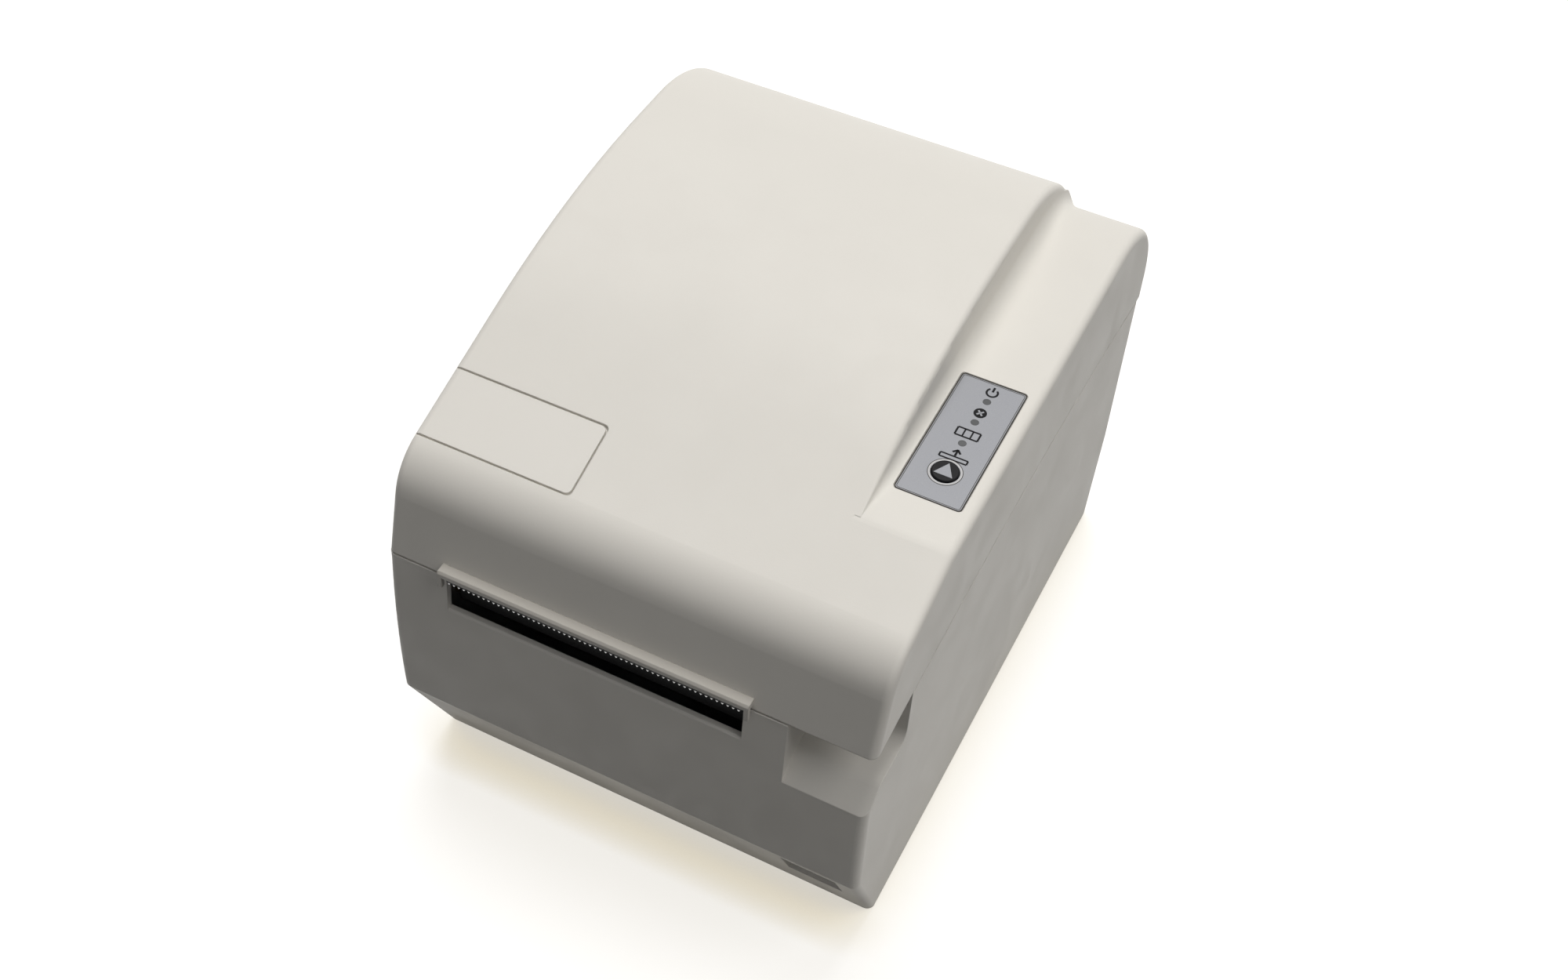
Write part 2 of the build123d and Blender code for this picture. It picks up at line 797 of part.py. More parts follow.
platen_turn = math.atan2(idler_axis[1] - platen_z, idler_axis[0] - platen_depth)
motor_turn = math.atan2(motor_z - idler_axis[1], motor_depth - idler_axis[0])

with BuildPart() as platen_shaft:
    rod((left_cheek_x[0] - 2.5, platen_gear_x[1] + 0.1), *platen_axis, shaft_radius)
    chamfer(platen_shaft.edges().filter_by(GeomType.CIRCLE), 0.4)
save(platen_shaft, "platen_shaft")

with BuildPart() as platen_rubber:
    rod((slot_left_x - 0.5, slot_right_x + 0.5), *platen_axis, platen_radius)
    rod((slot_left_x - 1, slot_right_x + 1), *platen_axis, shaft_radius, Mode.SUBTRACT)
save(platen_rubber, "platen_rubber")

with BuildPart() as platen_gear:
    gear(
        axis_plane(platen_gear_x[0], *platen_axis),
        platen_teeth,
        platen_turn,
        platen_gear_x[1] - platen_gear_x[0],
        shaft_radius,
    )
save(platen_gear, "platen_gear")

with BuildPart() as idler_gear:
    gear(
        axis_plane(platen_gear_x[0], *idler_axis),
        idler_small_teeth,
        platen_turn + math.pi + math.pi / idler_small_teeth,
        idler_big_x[0] - platen_gear_x[0],
        0,
    )
    gear(
        axis_plane(idler_big_x[0], *idler_axis),
        idler_big_teeth,
        motor_turn,
        idler_big_x[1] - idler_big_x[0],
        0,
    )
    rod(
        (platen_gear_x[0] - 1, idler_big_x[1] + 1),
        *idler_axis,
        idler_axle_radius + running_clearance,
        Mode.SUBTRACT,
    )
save(idler_gear, "idler_gear")

with BuildPart() as idler_axle:
    rod((right_cheek_x[0], idler_big_x[1] + 0.7), *idler_axis, idler_axle_radius)
    rod((right_cheek_x[1], platen_gear_x[0] - 0.1), *idler_axis, idler_axle_radius + 1)
save(idler_axle, "idler_axle")

with BuildPart() as feed_motor:
    rod(motor_x, *motor_axis, motor_radius)
    fillet(feed_motor.edges().filter_by(GeomType.CIRCLE).sort_by(Axis.X)[0], 1.5)
    with BuildSketch(axis_plane(motor_x[1], *motor_axis)):
        Circle(motor_radius - 1)
        with Locations((0, 17.5), (0, -17.5)):
            Circle(3.4)
    extrude(amount=motor_flange)
    for depth, height in motor_screw_places:
        rod((motor_x[1] - 6, motor_x[1] + 3), depth, height, screw_radius, Mode.SUBTRACT)
    rod(
        (motor_x[0] + 3, motor_x[1] + 3),
        *motor_axis,
        motor_shaft_radius + running_clearance,
        Mode.SUBTRACT,
    )
save(feed_motor, "feed_motor")

with BuildPart() as motor_screws:
    for depth, height in motor_screw_places:
        rod((right_cheek_x[1] - 6, right_cheek_x[1]), depth, height, screw_radius)
        rod((right_cheek_x[1], right_cheek_x[1] + 1.2), depth, height, screw_head_radius)
save(motor_screws, "motor_screws")

with BuildPart() as motor_shaft:
    rod((motor_x[0] + 3.2, pinion_x[1] + 0.2), *motor_axis, motor_shaft_radius)
save(motor_shaft, "motor_shaft")

with BuildPart() as motor_pinion:
    gear(
        axis_plane(pinion_x[0], *motor_axis),
        pinion_teeth,
        motor_turn + math.pi + math.pi / pinion_teeth,
        pinion_x[1] - pinion_x[0],
        motor_shaft_radius,
    )
save(motor_pinion, "motor_pinion")

# Sliding label sensor in the front of the deck
with BuildPart() as paper_sensor:
    middle = paper_middle_x
    bar((middle - 6, middle + 6), sensor_depths, (column_top_z - 0.5, deck_top_z + 0.5))
    bar(
        (middle - 8, middle + 8),
        (sensor_depths[0] - 2, sensor_depths[1] + 2),
        (column_top_z - 3, column_top_z - 0.2),
    )
    bar(
        (middle - 6, middle + 6),
        (sensor_depths[0] - 1.4, sensor_depths[1] + 1.4),
        (deck_top_z + 0.2, deck_top_z + 1),
    )
save(paper_sensor, "paper_sensor")

# Snap clips that hold the lid shut, and the switch that feels the lid
stud_depth = 52.0
stud_z = 119.0
stud_radius = 2.5
left_clip_x = [bay_left_x - 10.5, bay_left_x - 6.5]
right_clip_x = [bay_right_x + 3.0, bay_right_x + 7.0]
clip_half = 6.0
clip_top_z = 122.0
with BuildPart() as latch_clips:
    for span_x in (left_clip_x, right_clip_x):
        bar(span_x, (stud_depth - clip_half, stud_depth + clip_half), (deck_top_z, clip_top_z))
        rod(span_x, stud_depth, stud_z, stud_radius + running_clearance, Mode.SUBTRACT)
        side_shape(
            span_x,
            [
                at(stud_depth - stud_radius - running_clearance, stud_z),
                at(stud_depth + stud_radius + running_clearance, stud_z),
                at(stud_depth + stud_radius + 2.2, clip_top_z + 1),
                at(stud_depth - stud_radius - 2.2, clip_top_z + 1),
            ],
            Mode.SUBTRACT,
        )
save(latch_clips, "latch_clips")

flag_x = [step_x + 12.2, step_x + 13.2]
flag_depths = [146.0, 154.0]
sensor_top_z = 122.0
with BuildPart() as cover_sensor:
    bar(
        (flag_x[0] - 4, flag_x[1] + 4),
        (flag_depths[0] - 1, flag_depths[1] + 1),
        (deck_top_z, sensor_top_z),
    )
    bar(
        (flag_x[0] - touch_gap, flag_x[1] + touch_gap),
        (flag_depths[0] - 2, flag_depths[1] + 2),
        (deck_top_z + 2.5, sensor_top_z + 1),
        Mode.SUBTRACT,
    )
save(cover_sensor, "cover_sensor")

with BuildPart() as hinge_pins:
    for middle in hinge_middles:
        rod((middle - hinge_reach, middle + hinge_reach), hinge_depth, hinge_z, hinge_pin_radius)
save(hinge_pins, "hinge_pins")

# Electronics and the connectors at the rear
board_thickness = 1.6
board_z = [standoff_top_z, standoff_top_z + board_thickness]
tray_depth = 7.5
panel_depth = inner_rear_depth - tray_depth
panel_sheet = 1.5
panel_face_depth = panel_depth + panel_sheet
tray_x = port_window_x + 4.0
tray_z = [port_window_z[0] - 3.5, port_window_z[1] + 4.0]

with BuildPart() as main_board:
    bar((-board_half_x, board_half_x), board_depths, board_z)
    for x, depth in board_places:
        post(x, depth, (board_z[0] - 1, board_z[1] + 1), screw_radius, Mode.SUBTRACT)
save(main_board, "main_board")

board_screws = screws(board_places, board_z[1], standoff_top_z - 6)
save(board_screws, "board_screws")

with BuildPart() as board_chips:
    bar((-18, 6), (150, 174), (board_z[1], board_z[1] + 2))
    bar((20, 34), (146, 158), (board_z[1], board_z[1] + 1.6))
    bar((-48, -36), (186, 196), (board_z[1], board_z[1] + 1.8))
    bar((44, 62), (180, 192), (board_z[1], board_z[1] + 1.8))
save(board_chips, "board_chips")

with BuildPart() as board_capacitors:
    for x, depth in ((-60, 150), (-60, 164), (60, 130)):
        post(x, depth, (board_z[1], board_z[1] + 12), 5.0)
    fillet(board_capacitors.edges().group_by(Axis.Z)[-1], 0.6)
save(board_capacitors, "board_capacitors")

switch_x = -46.0
switch_pivot = (panel_depth - 1.0, 31.0)
switch_half = (8.0, 12.0)
rocker_half = 6.0
rocker_gap = 0.25
rocker_reach = 10.3
rocker_tilt = math.radians(8)
inlet_x = -24.0
inlet_z = 30.0
serial_x = 8.0
serial_z = 31.0
usb_x = 42.0
usb_z = 30.0

with BuildPart() as port_panel:
    bar((-tray_x, tray_x), (panel_depth, inner_rear_depth), tray_z)
    bar(
        (-port_window_x, port_window_x),
        (panel_face_depth, inner_rear_depth + 1),
        (tray_z[0] + 2, tray_z[1] - 2),
        Mode.SUBTRACT,
    )
    cut = (panel_depth - 1, panel_face_depth + 1)
    bar(
        (switch_x - switch_half[0] + 1, switch_x + switch_half[0] - 1),
        cut,
        (switch_pivot[1] - switch_half[1] + 1, switch_pivot[1] + switch_half[1] - 1),
        Mode.SUBTRACT,
    )
    bar((inlet_x - 6, inlet_x + 6), cut, (inlet_z - 5.5, inlet_z + 5.5), Mode.SUBTRACT)
    bar((serial_x - 9.5, serial_x + 9.5), cut, (serial_z - 4.5, serial_z + 4.5), Mode.SUBTRACT)
    bar((usb_x - 6.5, usb_x + 6.5), cut, (usb_z - 6, usb_z + 6), Mode.SUBTRACT)
save(port_panel, "port_panel")

with BuildPart() as switch_body:
    bar(
        (switch_x - switch_half[0] + 1, switch_x + switch_half[0] - 1),
        (panel_depth - 14, panel_face_depth),
        (switch_pivot[1] - switch_half[1] + 1, switch_pivot[1] + switch_half[1] - 1),
    )
    bar(
        (switch_x - switch_half[0], switch_x + switch_half[0]),
        (panel_face_depth, panel_face_depth + 1.2),
        (switch_pivot[1] - switch_half[1], switch_pivot[1] + switch_half[1]),
    )
    bar(
        (switch_x - rocker_half - rocker_gap, switch_x + rocker_half + rocker_gap),
        (panel_depth - 6, panel_face_depth + 3),
        (switch_pivot[1] - rocker_reach, switch_pivot[1] + rocker_reach),
        Mode.SUBTRACT,
    )
    rod((switch_x - 6.8, switch_x + 6.8), *switch_pivot, 1.55, Mode.SUBTRACT)
save(switch_body, "switch_body")


def tilted(out, up):
    """Point of the rocker, turned to its off position about the switch pivot."""
    return at(
        switch_pivot[0] + out * math.cos(rocker_tilt) + up * math.sin(rocker_tilt),
        switch_pivot[1] - out * math.sin(rocker_tilt) + up * math.cos(rocker_tilt),
    )


with BuildPart() as power_rocker:
    side_shape(
        (switch_x - rocker_half, switch_x + rocker_half),
        [
            tilted(6.0, 9.2),
            tilted(4.7, 0),
            tilted(6.0, -9.2),
            tilted(2.6, -9.2),
            tilted(-1.8, -3),
            tilted(-1.8, 3),
            tilted(2.6, 9.2),
        ],
    )
    rod((switch_x - 6.7, switch_x + 6.7), *switch_pivot, 1.5)
save(power_rocker, "power_rocker")

with BuildPart() as dc_inlet:
    bar((inlet_x - 6, inlet_x + 6), (panel_depth - 12, panel_face_depth + 1), (inlet_z - 5.5, inlet_z + 5.5))
    with BuildSketch(Plane.XZ.offset(-(front_y + panel_face_depth + 1))):
        with Locations((inlet_x, inlet_z)):
            Circle(3.2)
            Circle(1.0, mode=Mode.SUBTRACT)
    extrude(amount=10, mode=Mode.SUBTRACT)
save(dc_inlet, "dc_inlet")

with BuildPart() as serial_socket:
    bar(
        (serial_x - 9.5, serial_x + 9.5),
        (panel_depth - 10, panel_face_depth),
        (serial_z - 4.5, serial_z + 4.5),
    )
    bar(
        (serial_x - 15.5, serial_x + 15.5),
        (panel_face_depth, panel_face_depth + 0.8),
        (serial_z - 6.2, serial_z + 6.2),
    )
    with BuildSketch(Plane.XZ.offset(-(front_y + panel_face_depth + 0.8))) as shell:
        with Locations((serial_x, serial_z)):
            Trapezoid(17.4, 8.4, 80, rotation=180)
        fillet(shell.vertices(), 1.6)
        offset(amount=-0.8, mode=Mode.SUBTRACT)
    extrude(amount=-4.2)
    for row, count in ((1.4, 5), (-1.4, 4)):
        for pin in range(count):
            with BuildSketch(Plane.XZ.offset(-(front_y + panel_face_depth + 0.8))):
                with Locations((serial_x + (pin - (count - 1) / 2) * 2.77, serial_z + row)):
                    Circle(0.5)
            extrude(amount=-3.4)
save(serial_socket, "serial_socket")

with BuildPart() as usb_socket:
    bar((usb_x - 6.5, usb_x + 6.5), (panel_depth - 12, panel_face_depth + 1), (usb_z - 6, usb_z + 6))
    bar(
        (usb_x - 4.2, usb_x + 4.2),
        (panel_depth - 7, panel_face_depth + 2),
        (usb_z - 3.9, usb_z + 3.9),
        Mode.SUBTRACT,
    )
    bar((usb_x - 2.8, usb_x + 2.8), (panel_depth - 8, panel_face_depth), (usb_z - 1.6, usb_z + 1.6))
save(usb_socket, "usb_socket")

# Lid: a high main shell and a lower strip along the right, with two hinge arms
crown_wall_z = 1.2
carrier_x = [bay_left_x - 5.0, bay_right_x + 1.0]
carrier_z = [137.0, 139.5]
carrier_depths = [8.0, 58.0]
carrier_post_x = [carrier_x[0] + 18.0, carrier_x[1] - 17.0]
carrier_places = [(x, depth) for depth in (24.0, 50.0) for x in carrier_post_x]
lid_post_radius = 3.4
panel_board_top = -7.4
overlay_start = along_strip(panel_front_depth)
panel_board_x = [step_x + 2.7, half_width - 4.0]
panel_board_span = [overlay_start - 2.3, overlay_start + panel_length + 2.6]
panel_board_edge = 3.0
panel_board_places = [
    (x, along)
    for along in (panel_board_span[0] + panel_board_edge, panel_board_span[1] - panel_board_edge)
    for x in (panel_board_x[0] + panel_board_edge, panel_board_x[1] - panel_board_edge)
]

with BuildPart() as strip_blank:
    push(
        lid_section(step_x - strip_lap, strip_corners, strip_radii),
        (1, 0, 0),
        half_width - step_x + strip_lap,
        Mode.ADD,
    )
    ends = strip_blank.edges().filter_by(lambda e: (e @ 0.5).Z > skirt_z + 1)
    fillet(ends.filter_by(lambda e: abs((e @ 0.5).X - half_width) < 0.01), lid_edge_radius)

# Soft foot of the step, following the top of the strip and ending at the height of the main shell.
# In front of step_full_depth the step is lower than its foot and its round edge together, so there
# both shrink to the point where the step starts.
edge_drop = step_edge_radius / math.cos(crown_angle)
foot_rise = step_foot_radius / math.cos(strip_angle)
step_full_depth = strip_front_depth + (edge_drop + foot_rise) / (crown_slope - strip_slope)
step_start = Vertex(step_x, front_y + strip_front_depth, strip_front_z)
step_full_plane = Plane(
    origin=(
        step_x,
        front_y + step_full_depth,
        strip_front_z + strip_slope * (step_full_depth - strip_front_depth),
    ),
    x_dir=(1, 0, 0),
    z_dir=(0, -1, 0),
)
with BuildLine(Plane.YZ) as foot_line:
    FilletPolyline(
        at(strip_front_depth, strip_front_z),
        at(case_depth, strip_rear_z),
        at(case_depth, strip_rear_z - 2 * strip_rear_radius),
        radius=strip_rear_radius,
    )
with BuildPart() as step_foot:
    with BuildSketch(Plane(foot_line.line @ 0 + (step_x, 0, 0), x_dir=(1, 0, 0), z_dir=foot_line.line % 0)):
        with BuildLine():
            Polyline(
                (step_foot_radius, 0),
                (step_foot_radius, 1),
                (-1, 1),
                (-1, -step_foot_radius),
                (0, -step_foot_radius),
            )
            RadiusArc((0, -step_foot_radius), (step_foot_radius, 0), step_foot_radius)
        make_face()
    sweep(path=foot_line.line)
    push(
        lid_section(step_x - 2, main_corners, main_radii),
        (1, 0, 0),
        step_foot_radius + 3,
        Mode.INTERSECT,
    )
    bar(
        (step_x - 3, step_x + step_foot_radius + 3),
        (strip_front_depth - 5, step_full_depth),
        (strip_front_z - 20, lid_top_z + 5),
        Mode.SUBTRACT,
    )

with BuildPart() as step_front:
    push(
        lid_section(step_x - step_edge_radius - 1, main_corners, main_radii),
        (1, 0, 0),
        step_edge_radius + 1,
        Mode.ADD,
    )
    bar(
        (step_x - step_edge_radius - 2, step_x + 1),
        (strip_front_depth, step_full_depth),
        (strip_front_z - 4, lid_top_z + 5),
        Mode.INTERSECT,
    )
    with BuildSketch(step_full_plane) as edge_corner:
        with BuildLine():
            Polyline(
                (-step_edge_radius, foot_rise + edge_drop),
                (-step_edge_radius, foot_rise + edge_drop + 2),
                (2, foot_rise + edge_drop + 2),
                (2, foot_rise),
                (0, foot_rise),
            )
            EllipticalCenterArc(
                (-step_edge_radius, foot_rise), step_edge_radius, edge_drop, start_angle=0, arc_size=90
            )
        make_face()
    loft([edge_corner.sketch.face(), step_start], mode=Mode.SUBTRACT)
    with BuildSketch(step_full_plane) as foot_end:
        with BuildLine():
            Polyline(
                (step_foot_radius, 0),
                (step_foot_radius, -1),
                (-1, -1),
                (-1, foot_rise),
                (0, foot_rise),
            )
            EllipticalCenterArc(
                (step_foot_radius, foot_rise), step_foot_radius, foot_rise, start_angle=180, arc_size=90
            )
        make_face()
    loft([foot_end.sketch.face(), step_start])

with BuildPart() as lid_blank:
    push(lid_section(-half_width, main_corners, main_radii), (1, 0, 0), half_width + step_x, Mode.ADD)
    ends = lid_blank.edges().filter_by(lambda e: (e @ 0.5).Z > skirt_z + 1)
    fillet(ends.filter_by(lambda e: abs((e @ 0.5).X + half_width) < 0.01), lid_edge_radius)
    ends = lid_blank.edges().filter_by(lambda e: (e @ 0.5).Z > skirt_z + 1)
    fillet(ends.filter_by(lambda e: abs((e @ 0.5).X - step_x) < 0.01), step_edge_radius)
    add(strip_blank.part)
    add(step_foot.part)
    add(step_front.part)


def crown_slab(x, depth, low, high, mode):
    """Block lying along the sloping front of the lid, measured from its surface."""
    start, end = along_crown(depth[0]), along_crown(depth[1])
    with BuildSketch(crown_plane.offset(low)) as face:
        with Locations(((x[0] + x[1]) / 2, (start + end) / 2)):
            Rectangle(x[1] - x[0], end - start)
        right_side = face.vertices().group_by(Axis.X)[-1]
        fillet(right_side, 2.0)
    extrude(face.sketch, amount=high - low, mode=mode)


def strip_disc(x, along, low, high, radius, mode=Mode.ADD):
    """Cylinder standing square on the right strip, measured from its surface."""
    with BuildSketch(strip_plane.offset(low)) as face:
        with Locations((x, along)):
            Circle(radius)
    extrude(face.sketch, amount=high - low, mode=mode)


def strip_slab(x, along, low, high, corner, mode=Mode.ADD):
    """Block lying along the right strip, measured from its surface."""
    with BuildSketch(strip_plane.offset(low)) as face:
        with Locations(((x[0] + x[1]) / 2, (along[0] + along[1]) / 2)):
            Rectangle(x[1] - x[0], along[1] - along[0])
        if corner:
            fillet(face.vertices(), corner)
    extrude(face.sketch, amount=high - low, mode=mode)


button_along = along_strip(button_depth)
overlay_x = [panel_left_x, panel_left_x + panel_width]
overlay_span = [overlay_start, overlay_start + panel_length]

with BuildPart() as top_cover:
    add(lid_blank.part)
    push(
        lid_section(-half_width + wall, main_corners, main_radii, wall),
        (1, 0, 0),
        half_width + step_x - 2 * wall,
        Mode.SUBTRACT,
    )
    push(
        lid_section(step_x - wall, strip_corners, strip_radii, wall),
        (1, 0, 0),
        half_width - step_x,
        Mode.SUBTRACT,
    )
    push(seam_section(seam_gap, False), (1, 0, 0), case_width + 2, Mode.SUBTRACT)
    for x, depth in carrier_places:
        crown_z = brow_z + crown_slope * (depth - brow_depth)
        post(x, depth, (carrier_z[1], crown_z - crown_wall_z), lid_post_radius)
        post(x, depth, (carrier_z[1] - 1, carrier_z[1] + 9), screw_radius, Mode.SUBTRACT)
    for x, along in panel_board_places:
        strip_disc(x, along, panel_board_top, -wall + 0.5, 2.6)
        strip_disc(x, along, panel_board_top - 1, -wall - 1, screw_radius - 0.5, Mode.SUBTRACT)
    for middle in hinge_middles:
        span_x = (middle - hinge_arm_width / 2, middle + hinge_arm_width / 2)
        rod(span_x, hinge_depth, hinge_z, hinge_knuckle_radius)
        bar(span_x, (hinge_depth - 3, inner_rear_depth + 0.1), (hinge_z, hinge_z + 24))
        rod(
            (span_x[0] - 1, span_x[1] + 1),
            hinge_depth,
            hinge_z,
            hinge_pin_radius + running_clearance + 0.01,
            Mode.SUBTRACT,
        )
    crown_slab(
        (-half_width - 5, plate_right_x + plate_groove),
        (plate_front_depth - plate_groove, plate_rear_depth + plate_groove),
        -plate_thickness,
        6,
        Mode.SUBTRACT,
    )
    strip_slab(
        (overlay_x[0] - 0.25, overlay_x[1] + 0.25),
        (overlay_span[0] - 0.25, overlay_span[1] + 0.25),
        -panel_recess,
        3,
        1.6,
        Mode.SUBTRACT,
    )
    strip_disc(button_x, button_along, -wall - 2, 3, button_radius + button_gap, Mode.SUBTRACT)
    for depth in light_depths.values():
        strip_disc(button_x, along_strip(depth), -wall - 2, 3, light_radius, Mode.SUBTRACT)
save(top_cover, "top_cover")

with BuildPart() as name_plate:
    crown_slab(
        (-half_width - 5, plate_right_x),
        (plate_front_depth, plate_rear_depth),
        -plate_thickness,
        6,
        Mode.ADD,
    )
    add(lid_blank.part, mode=Mode.INTERSECT)
save(name_plate, "name_plate")

with BuildPart() as control_overlay:
    strip_slab(overlay_x, overlay_span, -panel_recess, panel_thickness - panel_recess, 1.4)
    strip_disc(button_x, button_along, -2, 2, button_radius + button_gap, Mode.SUBTRACT)
    for depth in light_depths.values():
        strip_disc(button_x, along_strip(depth), -2, 2, light_radius, Mode.SUBTRACT)
save(control_overlay, "control_overlay")

for name, depth in light_depths.items():
    with BuildPart() as light:
        strip_disc(
            button_x, along_strip(depth), panel_board_top, panel_thickness - panel_recess, light_radius
        )
    save(light, name)

with BuildPart() as panel_board:
    strip_slab(panel_board_x, panel_board_span, panel_board_top - board_thickness, panel_board_top, 1.0)
save(panel_board, "panel_board")

with BuildPart() as feed_switch:
    low = panel_board_top
    strip_slab(
        (button_x - 3, button_x + 3), (button_along - 3, button_along + 3), low, low + 1.8, 0.4
    )
    strip_disc(button_x, button_along, low + 1.8, low + 2.3, 1.6)
save(feed_switch, "feed_switch")

with BuildPart() as feed_button:
    strip_disc(button_x, button_along, -wall - 1.7, 0.7, button_radius)
    fillet(feed_button.edges().filter_by(GeomType.CIRCLE).sort_by(Axis.Z)[-1], 0.5)
    strip_disc(button_x, button_along, -wall - 1.7, -wall - 0.1, button_radius + 1.3)
save(feed_button, "feed_button")

# Front edge of the lid: tear guard with a toothed blade
tear_x = [slot_left_x - 1.5, slot_right_x + 2.8]
guard_top_z = guard_bottom_z + guard_height


def front_of_lid(height):
    """Depth of the front face of the lid at a height below its brow."""
    return brow_depth - lean * (brow_z - height)


with BuildPart() as tear_guard:
    side_shape(
        tear_x,
        [
            at(-guard_reach, guard_bottom_z),
            at(front_of_lid(guard_bottom_z), guard_bottom_z),
            at(front_of_lid(guard_top_z), guard_top_z),
            at(0.8 - guard_reach, guard_top_z),
            at(-guard_reach, guard_top_z - 0.9),
        ],
    )
    for end in (tear_x[0], tear_x[1] - guard_overlap):
        bar((end, end + guard_overlap), (-guard_reach, -1.4), (guard_bottom_z - blade_drop, guard_bottom_z))
save(tear_guard, "tear_guard")

with BuildPart() as tear_blade:
    left, right = slot_left_x + 0.5, slot_right_x - 0.5
    count = round((right - left) / tooth_pitch)
    step = (right - left) / count
    low = guard_bottom_z - blade_drop
    edge = [(left, low + tooth_height)]
    for tooth in range(count):
        edge.append((left + (tooth + 0.5) * step, low))
        edge.append((left + (tooth + 1) * step, low + tooth_height))
    with BuildSketch(Plane.XZ.offset(-(front_y - 0.1))):
        with BuildLine():
            Polyline(*edge, (right, guard_bottom_z), (left, guard_bottom_z), close=True)
        make_face()
    extrude(amount=blade_thickness)
save(tear_blade, "tear_blade")

# Carrier inside the lid with the print head, its springs and the latch studs
head_pivot = (44.0, 124.0)
ear_sheet = 2.5
left_ear_x = [carrier_x[0], carrier_x[0] + ear_sheet]
right_ear_x = [carrier_x[1] - ear_sheet, carrier_x[1]]
bracket_x = [carrier_x[0] + 6.0, carrier_x[1] - 6.0]
bracket_depths = [12.0, 46.0]
bracket_z = [118.0, 119.5]
head_bottom_z = platen_z + platen_radius + media_gap

with BuildPart() as head_carrier:
    bar(carrier_x, carrier_depths, carrier_z)
    for ear in (left_ear_x, right_ear_x):
        bar(ear, (38, carrier_depths[1]), (114.5, carrier_z[1]))
        rod((ear[0] - 1, ear[1] + 1), *head_pivot, hinge_pin_radius, Mode.SUBTRACT)
        rod((ear[0] - 1, ear[1] + 1), stud_depth, stud_z, stud_radius, Mode.SUBTRACT)
    for x, depth in carrier_places:
        post(x, depth, (carrier_z[0] - 1, carrier_z[1] + 1), screw_radius, Mode.SUBTRACT)
save(head_carrier, "head_carrier")

carrier_screws = screws(carrier_places, carrier_z[0], carrier_z[1] + 8)
save(carrier_screws, "carrier_screws")

with BuildPart() as head_pivot_pin:
    rod((left_ear_x[0] - 1, right_ear_x[1] + 1), *head_pivot, hinge_pin_radius)
save(head_pivot_pin, "head_pivot_pin")

with BuildPart() as latch_studs:
    rod((left_clip_x[0] - 0.5, left_ear_x[1]), stud_depth, stud_z, stud_radius)
    rod((right_ear_x[0], right_clip_x[1]), stud_depth, stud_z, stud_radius)
save(latch_studs, "latch_studs")

with BuildPart() as cover_flag:
    roof = [
        strip_front_z + strip_slope * (depth - strip_front_depth) - wall / math.cos(strip_angle)
        for depth in flag_depths
    ]
    side_shape(
        flag_x,
        [
            at(flag_depths[0], 117),
            at(flag_depths[1], 117),
            at(flag_depths[1], roof[1]),
            at(flag_depths[0], roof[0]),
        ],
    )
save(cover_flag, "cover_flag")

with BuildPart() as head_bracket:
    bar(bracket_x, bracket_depths, bracket_z)
    for ear in ((bracket_x[0], bracket_x[0] + sheet), (bracket_x[1] - sheet, bracket_x[1])):
        bar(ear, (head_pivot[0] - 5, head_pivot[0] + 5), (bracket_z[0], head_pivot[1] + 4))
        rod(
            (ear[0] - 1, ear[1] + 1),
            *head_pivot,
            hinge_pin_radius + running_clearance + 0.01,
            Mode.SUBTRACT,
        )
save(head_bracket, "head_bracket")

with BuildPart() as head_heatsink:
    bar((slot_left_x, slot_right_x), (9.0, 36.0), (head_bottom_z + 1.6, bracket_z[0]))
    for groove in range(5):
        bar(
            (slot_left_x - 1, slot_right_x + 1),
            (12.0 + 4.5 * groove, 14.2 + 4.5 * groove),
            (head_bottom_z + 3.4, bracket_z[0] + 1),
            Mode.SUBTRACT,
        )
save(head_heatsink, "head_heatsink")

with BuildPart() as thermal_element:
    bar((slot_left_x + 2, slot_right_x - 2), (9.0, 30.0), (head_bottom_z, head_bottom_z + 1.6))
save(thermal_element, "thermal_element")

with BuildPart() as head_connector:
    x = paper_middle_x
    bar((x - 13, x + 13), (36.5, 43.5), (bracket_z[0] - 4.5, bracket_z[0]))
    bar((x - 11, x + 11), (38.0, 42.0), (bracket_z[0] - 5.5, bracket_z[0] - 2.5), Mode.SUBTRACT)
save(head_connector, "head_connector")

spring_radius = 3.55
spring_wire = 0.45
spring_turns = 5
spring_places = [(bracket_x[0] + 32.0, 22.0), (bracket_x[1] - 26.0, 22.0)]
spring_height = carrier_z[0] - bracket_z[1] - 2 * spring_wire
spring_pitch = spring_height / spring_turns
with BuildPart() as head_springs:
    for x, depth in spring_places:
        with BuildLine(Plane((x, front_y + depth, bracket_z[1] + spring_wire))) as coil:
            Helix(spring_pitch, spring_height, spring_radius)
        with BuildSketch(Plane(coil.line @ 0, z_dir=coil.line % 0)):
            Circle(spring_wire)
        sweep(path=coil.line, is_frenet=True)
save(head_springs, "head_springs")
print("least gap between turns of a head spring", round(spring_pitch - 2 * spring_wire, 2))
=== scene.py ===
# %% [markdown]
# # A desktop label printer
# The printer is a pale moulded case with a lid hinged at the rear. Its solids come from the CAD
# model, already at their true size and place. This lesson dresses them: it adds the finishes,
# the printed panel, and the small repeated parts that are too fine for the solids.

# %% Load the solids
import json
import math

import bmesh
import bpy
from mathutils import Matrix, Vector

